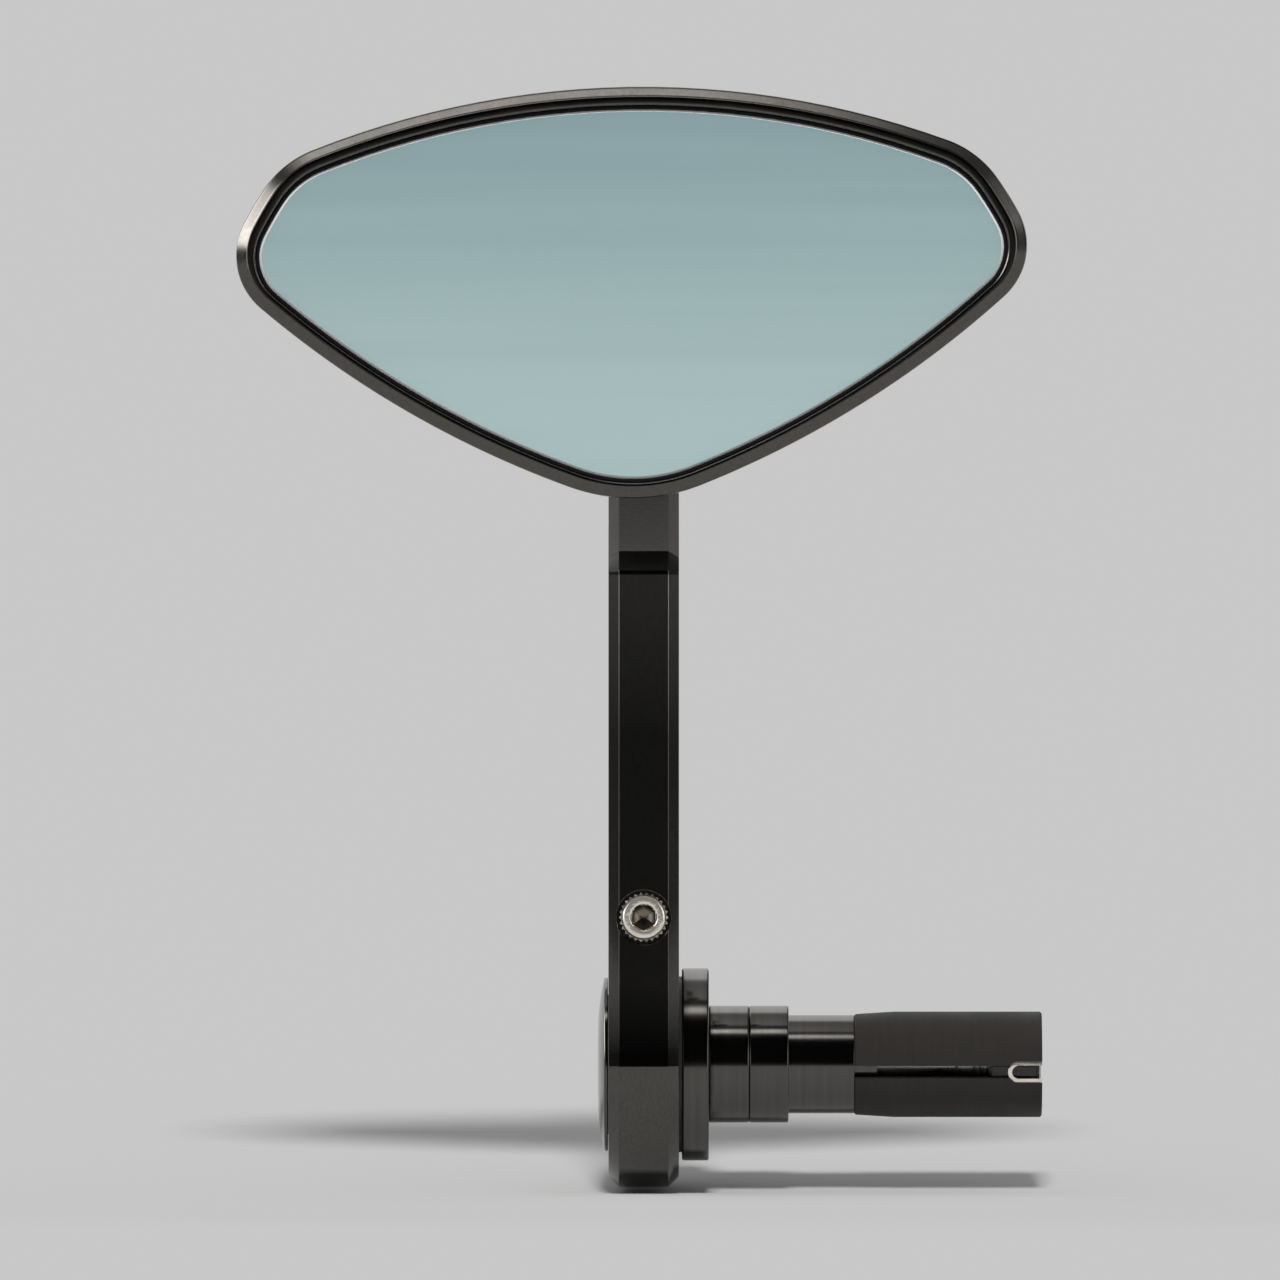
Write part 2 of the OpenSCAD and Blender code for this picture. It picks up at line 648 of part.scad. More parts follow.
// A domed nut on the stud, behind the arm
module stud_nut() {
    y0 = top_rear_y + stud_washer_t;
    color("silver") translate([arm_x, 0, ball_z]) difference() {
        union() {
            along_y(y0) intersection() {
                cylinder(r = nut_af / sqrt(3), h = nut_h, $fn = 6);
                cylinder(r1 = nut_af / sqrt(3) + nut_h, r2 = nut_flat_r, h = nut_h);
            }
            intersection() {
                translate([0, y0 + nut_h - nut_dome_low, 0]) sphere(r = nut_dome_r);
                rod_y(y0 + nut_h - nut_dome_low, y0 + nut_h + nut_dome_r, nut_dome_r);
            }
        }
        rod_y(y0 - past, y0 + nut_h + 2 * stud_end, stud_r + thread_clear);
    }
}

// The plastic cup between the ball and the shell
module ball_seat() {
    inner_r = ball_r + ball_fit;
    color("ivory") at_ball() intersection() {
        difference() {
            sphere(r = inner_r + seat_wall);
            sphere(r = inner_r);
        }
        rod_y(seat_front, seat_rear, recess_r);
    }
}

// The ring that is screwed on the boss and keeps the ball in
module ball_ring() {
    inner_r = ball_r + ball_fit;
    lip_y = sqrt(pow(inner_r, 2) - pow(ring_lip_r, 2));
    color([0.14, 0.14, 0.13]) at_head_ball() difference() {
        rod_y(ring_y, ring_y + ring_t, boss_r);
        sphere(r = inner_r);
        along_y(lip_y) cylinder(r1 = ring_lip_r, r2 = ring_lip_r + ring_t, h = ring_t);
        at_ring_screws() {
            rod_y(ring_y - past, ring_y + ring_t + past, ring_screw_r + thread_clear);
            rod_y(ring_y + ring_t - ring_screw_head_r, ring_y + ring_t + past, ring_screw_head_r + 2 * thread_clear);
        }
    }
}

module ring_screws() {
    top_y = ring_y + ring_t;
    color("silver") at_head_ball() at_ring_screws() difference() {
        union() {
            rod_y(top_y - ring_screw_head_r, top_y - ring_screw_low, ring_screw_head_r);
            rod_y(top_y - ring_screw_len, top_y - ring_screw_head_r / 2, ring_screw_r);
        }
        along_y(top_y - ring_screw_head_r / 2) cylinder(r = ring_screw_hex_r, h = ring_screw_head_r, $fn = 6);
    }
}

// Depth of the shell's back between the rim, t = 0, and the flat round the boss, t = 1
function back_depth(t) = rim_depth + (shell_depth - rim_depth) * sin(90 * t);
// The rim's section, from the back to the front: [offset, depth, part of the rim's growth]
rim_section = [
    [0.65 * rim_w, rim_depth, 1],
    [0.87 * rim_w, rim_depth - 0.9, 1],
    [rim_w, rim_depth - 2.3, 1],
    [rim_w, 2.6, 1],
    [0.95 * rim_w, 1.5, 1],
    [0.82 * rim_w, 0.7, 0.8],
    [0.65 * rim_w, 0.3, 0.5],
    [pocket_off + 0.75, 0.25, 0],
    [pocket_off + 0.45, 0, 0],
    [pocket_off + 0.15, 0.12, 0],
    [pocket_off, 0.5, 0],
    [pocket_off, ledge_depth, 0],
];
back_steps = [1, 0.8, 0.6, 0.42, 0.26, 0.12];

module head_shell() {
    edge_line = rim_line(rim_section[0][0], 1);
    inner_line = outline(-ledge_w);
    color([0.13, 0.12, 0.11]) in_head() difference() {
        union() {
            skin(concat(
                [for (t = back_steps) ring_at(toward(edge_line, hub_ring_r, t), back_depth(t))],
                [for (s = rim_section) ring_at(rim_line(s[0], s[2]), s[1])],
                [ring_at(inner_line, ledge_depth), ring_at(inner_line, ledge_depth + 0.6)],
                [for (t = [0.1, 0.3, 0.6, 1]) ring_at(toward(inner_line, hub_ring_r, t), back_depth(t) - shell_wall)]));
            translate([ball_u, 0, ball_w])
                rod_y(ball_depth - recess_r - boss_wall, ball_depth + ring_y, boss_r);
        }
        translate([ball_u, ball_depth, ball_w]) {
            sphere(r = recess_r);
            rod_y(0, ring_y + past, recess_r);
            at_ring_screws() rod_y(ring_y + ring_t - ring_screw_len - 0.5, ring_y + past, ring_screw_r + thread_clear);
        }
    }
}

module backing_pad() {
    color("black") in_head() along_y(ledge_depth - pad_t)
        linear_extrude(pad_t) polygon([for (p = outline(-fit_gap)) [p.x, -p.y]]);
}

module glass_seal() {
    color([0.02, 0.02, 0.02]) in_head() along_y(glass_sink - 0.1) linear_extrude(ledge_depth - glass_sink + 0.1)
        difference() {
            polygon([for (p = outline(seal_w + fit_gap)) [p.x, -p.y]]);
            polygon([for (p = outline(fit_gap)) [p.x, -p.y]]);
        }
}

module mirror_glass() {
    bevel = 0.4;
    face = outline(-bevel);
    color([0.62, 0.74, 0.76]) in_head() skin(concat(
        [ring_at(outline(0), glass_sink + glass_t), ring_at(outline(0), glass_sink + bevel)],
        [for (s = [1, 0.8, 0.6, 0.4, 0.2]) ring_at(shrink(face, s), glass_sink - glass_sag * (1 - s * s))]));
}

split_sleeve();
slot_clip();
cone_nut();
shoulder_bush();
outer_spacer();
spigot_hub();
thrust_washer();
hub_cap();
plug_bolt();
bolt_washer();
arm();
pinch_screw();
ball_stud();
stud_washer();
stud_nut();
ball_seat();
ball_ring();
ring_screws();
head_shell();
backing_pad();
glass_seal();
mirror_glass();
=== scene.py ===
from math import asin, atan2, cos, hypot, pi, radians, sin, sqrt, tan
import bmesh
import bpy
from mathutils import Matrix, Vector


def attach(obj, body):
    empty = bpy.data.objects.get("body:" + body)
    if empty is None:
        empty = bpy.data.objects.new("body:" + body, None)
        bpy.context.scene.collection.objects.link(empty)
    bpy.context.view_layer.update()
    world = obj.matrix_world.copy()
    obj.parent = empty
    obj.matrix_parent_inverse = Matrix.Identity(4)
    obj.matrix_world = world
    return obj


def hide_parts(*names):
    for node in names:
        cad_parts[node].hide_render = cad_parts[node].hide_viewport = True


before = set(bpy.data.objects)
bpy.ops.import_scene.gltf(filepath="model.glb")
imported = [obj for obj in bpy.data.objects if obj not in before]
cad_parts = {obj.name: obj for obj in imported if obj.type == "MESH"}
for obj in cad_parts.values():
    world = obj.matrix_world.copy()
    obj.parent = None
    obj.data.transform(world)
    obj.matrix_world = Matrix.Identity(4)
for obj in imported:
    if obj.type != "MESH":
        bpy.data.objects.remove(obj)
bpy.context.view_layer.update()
mm = 0.001
print("frame loaded:", len(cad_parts), "nodes")

# places that several pieces share, in mm
armX = -24.7
ballAt = (armX, -18.7, 132.0)      # centre of the ball joint
headRoll = 0.93                    # the head leans this much, right side up


# small helpers for meshes

def addObject(name, mesh):
    piece = bpy.data.objects.new(name, mesh)
    bpy.context.scene.collection.objects.link(piece)
    return piece


def tidyMesh(bm, name, sharpAngle):
    bmesh.ops.remove_doubles(bm, verts=bm.verts, dist=1e-7)
    bmesh.ops.recalc_face_normals(bm, faces=bm.faces)
    mesh = bpy.data.meshes.new(name)
    bm.to_mesh(mesh)
    bm.free()
    mesh.shade_smooth()
    mesh.set_sharp_from_angle(angle=radians(sharpAngle))
    return mesh


def meshFrom(name, points, faces, sharpAngle=38):
    bm = bmesh.new()
    verts = [bm.verts.new(Vector(p) * mm) for p in points]
    for f in faces:
        bm.faces.new([verts[i] for i in f])
    return tidyMesh(bm, name, sharpAngle)


def joinMeshes(name, meshes, sharpAngle=38):
    bm = bmesh.new()
    for mesh in meshes:
        bm.from_mesh(mesh)
    mesh = bpy.data.meshes.new(name)
    bm.to_mesh(mesh)
    bm.free()
    mesh.shade_smooth()
    mesh.set_sharp_from_angle(angle=radians(sharpAngle))
    return mesh


def moved(mesh, matrix):
    mesh.transform(matrix)
    return mesh


# rounds the corners of a closed outline; a corner is (a, b) or (a, b, radius)
def roundedOutline(corners, radius, steps=4):
    out = []
    count = len(corners)
    for i, corner in enumerate(corners):
        p = Vector(corner[:2])
        r = corner[2] if len(corner) > 2 else radius
        back = Vector(corners[i - 1][:2]) - p
        ahead = Vector(corners[(i + 1) % count][:2]) - p
        if r <= 0 or back.length < 1e-6 or ahead.length < 1e-6:
            out.append(tuple(p))
            continue
        half = back.angle(ahead) / 2
        if abs(half - pi / 2) < radians(2):
            out.append(tuple(p))
            continue
        reach = min(r / tan(half), 0.45 * back.length, 0.45 * ahead.length)
        a = p + back.normalized() * reach
        b = p + ahead.normalized() * reach
        for k in range(steps + 1):
            t = k / steps
            out.append(tuple((1 - t) ** 2 * a + 2 * t * (1 - t) * p + t * t * b))
    return out


# turns a closed outline of (along, radius) round an axis along X or Y
def turned(name, outline, centre=(0, 0, 0), axis="X", steps=128, sharpAngle=38):
    points = []
    faces = []
    for j in range(steps):
        t = 2 * pi * j / steps
        for along, r in outline:
            if axis == "X":
                points.append((centre[0] + along, centre[1] + r * cos(t), centre[2] + r * sin(t)))
            else:
                points.append((centre[0] + r * cos(t), centre[1] + along, centre[2] + r * sin(t)))
    n = len(outline)
    for j in range(steps):
        for i in range(n):
            k = (i + 1) % n
            a, b = j * n + i, j * n + k
            c, d = ((j + 1) % steps) * n + k, ((j + 1) % steps) * n + i
            onAxis = outline[i][1] < 1e-6, outline[k][1] < 1e-6
            if all(onAxis):
                continue
            if onAxis[0]:
                faces.append((i, b, c))
            elif onAxis[1]:
                faces.append((a, k, d))
            else:
                faces.append((a, b, c, d))
    bm = bmesh.new()
    verts = {}
    for f in faces:
        for i in f:
            if i not in verts:
                verts[i] = bm.verts.new(Vector(points[i]) * mm)
        bm.faces.new([verts[i] for i in f])
    return tidyMesh(bm, name, sharpAngle)


# keeps flat faces flat in shading, with the turn all in the rounded edges
def evenNormals(mesh):
    holder = addObject(mesh.name + "Holder", mesh)
    modifier = holder.modifiers.new("normals", "WEIGHTED_NORMAL")
    modifier.keep_sharp = True
    modifier.weight = 100
    depsgraph = bpy.context.evaluated_depsgraph_get()
    baked = bpy.data.meshes.new_from_object(holder.evaluated_get(depsgraph))
    holder.modifiers.remove(modifier)
    bpy.data.objects.remove(holder)
    return baked


# a finer copy of a CAD node with small rounds along its sharp edges
def refined(nodeName, width, angle=30, steps=2, sharpAngle=38):
    bm = bmesh.new()
    bm.from_mesh(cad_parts[nodeName].data)
    bmesh.ops.remove_doubles(bm, verts=bm.verts, dist=2e-6)
    bmesh.ops.dissolve_limit(bm, angle_limit=radians(0.6), verts=bm.verts, edges=bm.edges)
    edges = [e for e in bm.edges if len(e.link_faces) == 2 and e.calc_face_angle(0) > radians(angle)]
    bmesh.ops.bevel(bm, geom=edges, offset=width * mm, segments=steps, profile=0.5, affect="EDGES", clamp_overlap=True)
    return evenNormals(tidyMesh(bm, nodeName + "Fine", sharpAngle))


# the head's own frame: u right, depth back and w up, with the rim's front edge at depth 0
ballUW = Vector((1.95, -15.2))     # the ball's place in it
ballDepth = 14.3
ballHeadMatrix = Matrix.Translation(Vector(ballAt) * mm) @ Matrix.Rotation(radians(-headRoll), 4, "Y")
headMatrix = ballHeadMatrix @ Matrix.Translation(Vector((-ballUW.x, -ballDepth, -ballUW.y)) * mm)


def makePiece(name, mesh, finish, body, slot, *nodes):
    piece = addObject(name, mesh)
    mesh.materials.clear()
    mesh.materials.append(finish)
    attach(piece, body)
    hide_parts(*nodes)
    return piece


# helpers for node trees

def link(tree, pairs):
    for a, b in pairs:
        tree.links.new(a, b)


def newTree(name, sizes):
    tree = bpy.data.node_groups.new(name, "GeometryNodeTree")
    tree.interface.new_socket("Geometry", in_out="INPUT", socket_type="NodeSocketGeometry")
    sockets = {}
    for label, value in sizes.items():
        kind = "NodeSocketInt" if isinstance(value, int) else "NodeSocketFloat"
        sockets[label] = tree.interface.new_socket(label, in_out="INPUT", socket_type=kind).identifier
    tree.interface.new_socket("Geometry", in_out="OUTPUT", socket_type="NodeSocketGeometry")
    return tree, sockets


def addNode(tree, kind, x=0, y=0, **settings):
    node = tree.nodes.new(kind)
    node.location = (x, y)
    for key, value in settings.items():
        setattr(node, key, value)
    return node


def endTree(tree, result, finish, x):
    realize = addNode(tree, "GeometryNodeRealizeInstances", x, 0)
    paint = addNode(tree, "GeometryNodeSetMaterial", x + 180, 0)
    paint.inputs["Material"].default_value = finish
    out = addNode(tree, "NodeGroupOutput", x + 360, 0)
    link(tree, [(result, realize.inputs[0]), (realize.outputs[0], paint.inputs[0]), (paint.outputs[0], out.inputs[0])])


def bakeTree(name, mesh, tree, sockets, sizes):
    holder = addObject(name + "Holder", mesh)
    modifier = holder.modifiers.new("shape", "NODES")
    modifier.node_group = tree
    for label, value in sizes.items():
        modifier[sockets[label]] = value
    depsgraph = bpy.context.evaluated_depsgraph_get()
    baked = bpy.data.meshes.new_from_object(holder.evaluated_get(depsgraph))
    holder.modifiers.remove(modifier)
    bpy.data.objects.remove(holder)
    baked.name = name
    return baked


# materials: every finish is its own node tree on object coordinates

def startFinish(name, base, metallic, roughness, **more):
    finish = bpy.data.materials.new(name)
    finish.use_nodes = True
    tree = finish.node_tree
    shader = tree.nodes["Principled BSDF"]
    shader.inputs["Base Color"].default_value = (*base, 1)
    shader.inputs["Metallic"].default_value = metallic
    shader.inputs["Roughness"].default_value = roughness
    for label, value in more.items():
        shader.inputs[label.replace("_", " ")].default_value = value
    coords = addNode(tree, "ShaderNodeTexCoord", -1300, 0)
    return finish, tree, shader, coords.outputs["Object"]


def stretched(tree, coords, scale, x=-1100, y=0):
    mapping = addNode(tree, "ShaderNodeMapping", x, y)
    mapping.inputs["Scale"].default_value = scale
    link(tree, [(coords, mapping.inputs["Vector"])])
    return mapping.outputs["Vector"]


def noiseOf(tree, vector, scale, detail=3.0, rough=0.5, x=-900, y=0):
    noise = addNode(tree, "ShaderNodeTexNoise", x, y)
    noise.inputs["Scale"].default_value = scale
    noise.inputs["Detail"].default_value = detail
    noise.inputs["Roughness"].default_value = rough
    link(tree, [(vector, noise.inputs["Vector"])])
    return noise.outputs["Fac"]


def remapped(tree, value, low, high, outLow, outHigh, x=-600, y=0):
    span = addNode(tree, "ShaderNodeMapRange", x, y)
    for i, v in enumerate((low, high, outLow, outHigh)):
        span.inputs[i + 1].default_value = v
    link(tree, [(value, span.inputs[0])])
    return span.outputs[0]


def mixedColour(tree, factor, first, second, x=-400, y=0):
    mix = addNode(tree, "ShaderNodeMix", x, y, data_type="RGBA")
    for socket, value in ((mix.inputs[6], first), (mix.inputs[7], second)):
        if isinstance(value, tuple):
            socket.default_value = (*value, 1)
        else:
            link(tree, [(value, socket)])
    link(tree, [(factor, mix.inputs[0])])
    return mix.outputs[2]


def addBump(tree, shader, height, strength, distance, x=-300, y=-300):
    bump = addNode(tree, "ShaderNodeBump", x, y)
    bump.inputs["Strength"].default_value = strength
    bump.inputs["Distance"].default_value = distance
    link(tree, [(height, bump.inputs["Height"]), (bump.outputs["Normal"], shader.inputs["Normal"])])
    return bump


finishes = {
    "turnedBlack": {"base": (0.120, 0.114, 0.107), "roughness": 0.13, "grain": 900, "depth": 0.000004},
    "armBlack": {"base": (0.105, 0.102, 0.095), "roughness": 0.055, "grain": 2600, "depth": 0.000001},
    # lighter base: painted highlight on the arm's slope
    "facetPaintedHighlight": {"base": (0.165, 0.155, 0.146), "roughness": 0.6, "grain": 2600, "depth": 0.000004},
    # near black base: painted shade in the arm's bend
    "bendPaintedShade": {"base": (0.006, 0.006, 0.005), "roughness": 0.45, "grain": 2600, "depth": 0.000004},
    "shellBlack": {"base": (0.122, 0.114, 0.105), "roughness": 0.15, "grain": 1500, "depth": 0.000003},
    "sleeveBlack": {"base": (0.0215, 0.019, 0.017), "roughness": 0.62, "grain": 2200, "depth": 0.00002},
    "brightSteel": {"base": (0.95, 0.88, 0.78), "roughness": 0.15, "grain": 620, "depth": 0.00012},
    # darker steel: painted shade in the screw's socket
    "socketShadeSteel": {"base": (0.24, 0.21, 0.17), "roughness": 0.25, "grain": 900, "depth": 0.00001},
    "plainSteel": {"base": (0.48, 0.48, 0.47), "roughness": 0.3, "grain": 1600, "depth": 0.000006},
    # near black steel: painted shade in the sleeve's slit
    "darkSteelShade": {"base": (0.07, 0.068, 0.065), "roughness": 0.35, "grain": 1600, "depth": 0.000006},
    # top and low colours: painted reflection on the mirror, darker at the top
    "glassTintAndReflection": {"top": (0.315, 0.465, 0.50), "low": (0.57, 0.755, 0.76), "metallic": 0.35, "roughness": 0.08,
        "heights": (0.112, 0.178), "streaks": 0.06},
    # pale base: a ground edge, and also a painted highlight along the glass's bevel
    "groundEdgeAndHighlight": {"base": (0.93, 0.97, 0.97), "roughness": 0.3, "grain": 3000, "depth": 0.00001},
    "rubberBlack": {"base": (0.006, 0.006, 0.006), "roughness": 0.5, "grain": 3000, "depth": 0.00002},
    "foamBlack": {"base": (0.012, 0.012, 0.012), "roughness": 0.9, "cells": 1400, "depth": 0.0002},
    "seatPlastic": {"base": (0.72, 0.70, 0.64), "roughness": 0.38, "grain": 1200, "depth": 0.00001},
    "washerPlastic": {"base": (0.03, 0.03, 0.03), "roughness": 0.45, "grain": 1500, "depth": 0.00001},
}


# metal with fine marks; stretch says how the marks run, so (1, 0, 0) gives rings round the bar axis
def metalFinish(name, key, stretch, metallic=1.0, spread=0.25, **more):
    values = finishes[key]
    finish, tree, shader, coords = startFinish(name, values["base"], metallic, values["roughness"], **more)
    marks = noiseOf(tree, stretched(tree, coords, stretch), values["grain"], 4.0, 0.6)
    cloud = noiseOf(tree, stretched(tree, coords, (1, 1, 1), -1100, 300), 90, 3.0, 0.55, -900, 300)
    rough = values["roughness"]
    uneven = remapped(tree, cloud, 0.3, 0.7, rough * (1 - spread), rough * (1 + spread))
    link(tree, [(uneven, shader.inputs["Roughness"])])
    base = values["base"]
    darker = tuple(0.88 * c for c in base)
    lighter = tuple(min(1, 1.1 * c) for c in base)
    tone = remapped(tree, marks, 0.3, 0.7, 0, 1, -600, -200)
    link(tree, [(mixedColour(tree, tone, darker, lighter, -400, 200), shader.inputs["Base Color"])])
    addBump(tree, shader, marks, 0.5, values["depth"])
    return finish


turnedBlack = metalFinish("gloss black, turned", "turnedBlack", (1, 0.02, 0.02))
armBlack = metalFinish("satin black, milled", "armBlack", (1, 1, 0.35))
# the slope's faces get a lighter base than the arm, a painted highlight for the light they catch facing up
facetPaintedHighlight = metalFinish("satin black, slope as painted highlight", "facetPaintedHighlight", (0.35, 1, 1), 0.0, Specular_IOR_Level=0.08)
# the bend's faces are made near black as painted shade
bendPaintedShade = metalFinish("bend black as painted shade", "bendPaintedShade", (0.35, 1, 1), 0.0, Specular_IOR_Level=0.15)
shellBlack = metalFinish("gloss black, polished rim", "shellBlack", (1, 1, 1))
sleeveBlack = metalFinish("matt black", "sleeveBlack", (1, 0.05, 0.05), 0.0, 0.15, Specular_IOR_Level=0.3)
brightSteel = metalFinish("bright steel", "brightSteel", (1, 1, 1), 0.8)
socketShadeSteel = metalFinish("socket steel as painted shade", "socketShadeSteel", (1, 1, 1))
plainSteel = metalFinish("plated steel", "plainSteel", (1, 1, 1))
darkSteelShade = metalFinish("dark steel as painted shade", "darkSteelShade", (1, 1, 1))
ringBlack = metalFinish("gloss black, turned ring", "turnedBlack", (1, 1, 1))


# the arm's front face: painted reflection bands by height, deep black at the eye and paler towards the bend
# each row: from this height to that one in m, and the tone at either
frontReflectionTone = {"eye": (0.002, 0.014, 0.08, 1.0), "bend": (0.056, 0.080, 1.0, 2.6)}


def paintedReflectionFrontFinish():
    finish = metalFinish("satin black front with painted reflection bands", "armBlack", (1, 1, 0.35))
    tree = finish.node_tree
    shader = tree.nodes["Principled BSDF"]
    colour = shader.inputs["Base Color"].links[0].from_socket
    parts = addNode(tree, "ShaderNodeSeparateXYZ", -1000, 500)
    coords = next(node for node in tree.nodes if node.type == "TEX_COORD")
    # the two height tones scale the base colour as painted reflection: near black at the eye, lighter below the bend
    deep = addNode(tree, "ShaderNodeMath", -400, 500, operation="MULTIPLY")
    share = addNode(tree, "ShaderNodeVectorMath", -200, 400, operation="SCALE")
    eyeTone = remapped(tree, parts.outputs["Z"], *frontReflectionTone["eye"], -600, 500)
    bendTone = remapped(tree, parts.outputs["Z"], *frontReflectionTone["bend"], -600, 700)
    link(tree, [
        (coords.outputs["Object"], parts.inputs[0]), (eyeTone, deep.inputs[0]), (bendTone, deep.inputs[1]),
        (colour, share.inputs[0]), (deep.outputs[0], share.inputs[3]), (share.outputs[0], shader.inputs["Base Color"])])
    return finish


frontPaintedReflectionBlack = paintedReflectionFrontFinish()
rubberBlack = metalFinish("black rubber", "rubberBlack", (1, 1, 1), 0.0, Specular_IOR_Level=0.15)
seatPlastic = metalFinish("moulded cream plastic", "seatPlastic", (1, 1, 1), 0.0)
washerPlastic = metalFinish("moulded black plastic", "washerPlastic", (1, 1, 1), 0.0)


def foamFinish():
    values = finishes["foamBlack"]
    finish, tree, shader, coords = startFinish("black foam", values["base"], 0.0, values["roughness"])
    cells = addNode(tree, "ShaderNodeTexVoronoi", -900, 0)
    cells.inputs["Scale"].default_value = values["cells"]
    link(tree, [(coords, cells.inputs["Vector"])])
    tone = remapped(tree, cells.outputs["Distance"], 0, 0.7, 0, 1)
    link(tree, [(mixedColour(tree, tone, (0.004, 0.004, 0.004), (0.02, 0.02, 0.02)), shader.inputs["Base Color"])])
    addBump(tree, shader, cells.outputs["Distance"], 0.8, values["depth"])
    return finish


foamBlack = foamFinish()


# blue tinted mirror with painted reflection: darker at the top and paler towards the bottom, with faint level streaks
def glassReflectionFinish():
    values = finishes["glassTintAndReflection"]
    finish, tree, shader, coords = startFinish(
        "blue tinted mirror", values["low"], values["metallic"], values["roughness"])
    parts = addNode(tree, "ShaderNodeSeparateXYZ", -1000, 200)
    link(tree, [(coords, parts.inputs[0])])
    # height sets the painted reflection: darker at the top, paler below
    height = remapped(tree, parts.outputs["Z"], *values["heights"], 0, 1, -800, 200)
    streaks = noiseOf(tree, stretched(tree, coords, (8, 1, 260)), 1.0, 3.0, 0.5)
    soft = remapped(tree, streaks, 0.3, 0.7, -values["streaks"], values["streaks"], -600, 0)
    total = addNode(tree, "ShaderNodeMath", -500, 120, operation="ADD")
    link(tree, [(height, total.inputs[0]), (soft, total.inputs[1])])
    link(tree, [(mixedColour(tree, total.outputs[0], values["low"], values["top"]), shader.inputs["Base Color"])])
    wave = noiseOf(tree, stretched(tree, coords, (1, 1, 1), -1100, -300), 30, 1.0, 0.4, -900, -300)
    addBump(tree, shader, wave, 0.15, 0.0001)
    return finish


mirrorBlueReflection = glassReflectionFinish()
edgeGlassHighlight = metalFinish("ground glass edge with painted highlight", "groundEdgeAndHighlight", (1, 1, 1), 0.0, Specular_IOR_Level=1.0)
print("finishes made")

# turned parts of the bar plug, each an outline of (x, radius) in mm
# where they begin and end along the bar; the shoulder that meets the bar is at 0
barX = {"boltTop": -32.0, "spigotEnd": -30.8, "capBack": -28.8, "recess": -28.7, "seat": -25.0, "flange": -18.2,
    "spacer": -13.6, "pilot": -13.5, "barrel": -6.7, "neckEnd": 11.2, "noseEnd": 15.2}
bush = {"bore": 3.3, "pilot": 6.0, "barrel": 10.0, "neck": 8.4, "nose": 6.15, "round": 0.3}
spacer = {"bore": 6.05, "radius": 10.0, "round": 0.35}
hub = {"bore": 3.3, "seat": 5.3, "recess": 8.05, "spigot": 12.0, "flange": 16.4, "round": 0.4}
cap = {"hole": 5.3, "skirt": 8.0, "radius": 14.8, "edge": 0.6, "dome": 1.7, "round": 0.25}

shoulderBush = turned("shoulderBushMesh", roundedOutline([
    (barX["pilot"], bush["bore"], 0), (barX["pilot"], bush["pilot"], 0.2),
    (barX["barrel"], bush["pilot"], 0), (barX["barrel"], bush["barrel"]),
    (0, bush["barrel"]), (0, bush["neck"], 0),
    (barX["neckEnd"], bush["neck"], 0.15), (barX["neckEnd"], bush["nose"], 0),
    (barX["noseEnd"], bush["nose"]), (barX["noseEnd"], bush["bore"], 0.1)], bush["round"]))
makePiece("shoulderBush", shoulderBush, turnedBlack, "bar_plug", "turned_black", "shoulder_bush")

outerSpacer = turned("outerSpacerMesh", roundedOutline([
    (barX["spacer"], spacer["bore"], 0.1), (barX["spacer"], spacer["radius"]),
    (barX["barrel"], spacer["radius"]), (barX["barrel"], spacer["bore"], 0.1)], spacer["round"]))
makePiece("outerSpacer", outerSpacer, turnedBlack, "bar_plug", "turned_black", "outer_spacer")

spigotHub = turned("spigotHubMesh", roundedOutline([
    (barX["spigotEnd"], hub["recess"], 0.1), (barX["spigotEnd"], hub["spigot"], 0.2),
    (barX["flange"], hub["spigot"], 0), (barX["flange"], hub["flange"]),
    (barX["spacer"], hub["flange"]), (barX["spacer"], hub["bore"], 0.1),
    (barX["seat"], hub["bore"], 0), (barX["seat"], hub["seat"], 0),
    (barX["recess"], hub["seat"], 0.1), (barX["recess"], hub["recess"], 0)], hub["round"]), steps=160)
makePiece("spigotHub", spigotHub, turnedBlack, "bar_plug", "turned_black", "spigot_hub")


def capOutline():
    rise = cap["dome"] - cap["edge"]
    run = cap["radius"] - cap["hole"]
    r = (run * run + rise * rise) / (2 * rise)
    centre = barX["spigotEnd"] - cap["dome"] + r
    reach = asin(run / r)
    turns = [reach * (1 - i / 14) for i in range(15)]
    dome = [(centre - r * cos(t), cap["hole"] + r * sin(t), 0) for t in turns]
    dome[0] = (dome[0][0], dome[0][1], cap["round"])
    dome[-1] = (dome[-1][0], dome[-1][1], 0.2)
    return roundedOutline([(barX["spigotEnd"], cap["radius"], 0.1)] + dome + [
        (barX["capBack"], cap["hole"], 0.1), (barX["capBack"], cap["skirt"], 0.2),
        (barX["spigotEnd"], cap["skirt"], 0)], 0)


makePiece("hubCap", turned("hubCapMesh", capOutline(), steps=160), turnedBlack, "bar_plug", "turned_black", "hub_cap")
print("turned parts made")

# trees for what repeats: knurls, threads and the ring of small screws

def knurlTree(finish, sizes):
    tree, sockets = newTree("knurled ring", sizes)
    start = addNode(tree, "NodeGroupInput", -700, 0)
    circle = addNode(tree, "GeometryNodeMeshCircle", -450, 0)
    ridge = addNode(tree, "GeometryNodeMeshCylinder", -450, -250)
    ridge.inputs["Vertices"].default_value = 4
    position = addNode(tree, "GeometryNodeInputPosition", -450, 200)
    turn = addNode(tree, "FunctionNodeAlignRotationToVector", -250, 200, axis="X", pivot_axis="Z")
    place = addNode(tree, "GeometryNodeInstanceOnPoints", -50, 0)
    link(tree, [
        (start.outputs["Count"], circle.inputs["Vertices"]), (start.outputs["Radius"], circle.inputs["Radius"]),
        (start.outputs["Ridge"], ridge.inputs["Radius"]), (start.outputs["Length"], ridge.inputs["Depth"]),
        (position.outputs[0], turn.inputs["Vector"]), (circle.outputs[0], place.inputs["Points"]),
        (ridge.outputs["Mesh"], place.inputs["Instance"]), (turn.outputs[0], place.inputs["Rotation"])])
    endTree(tree, place.outputs[0], finish, 150)
    return tree, sockets


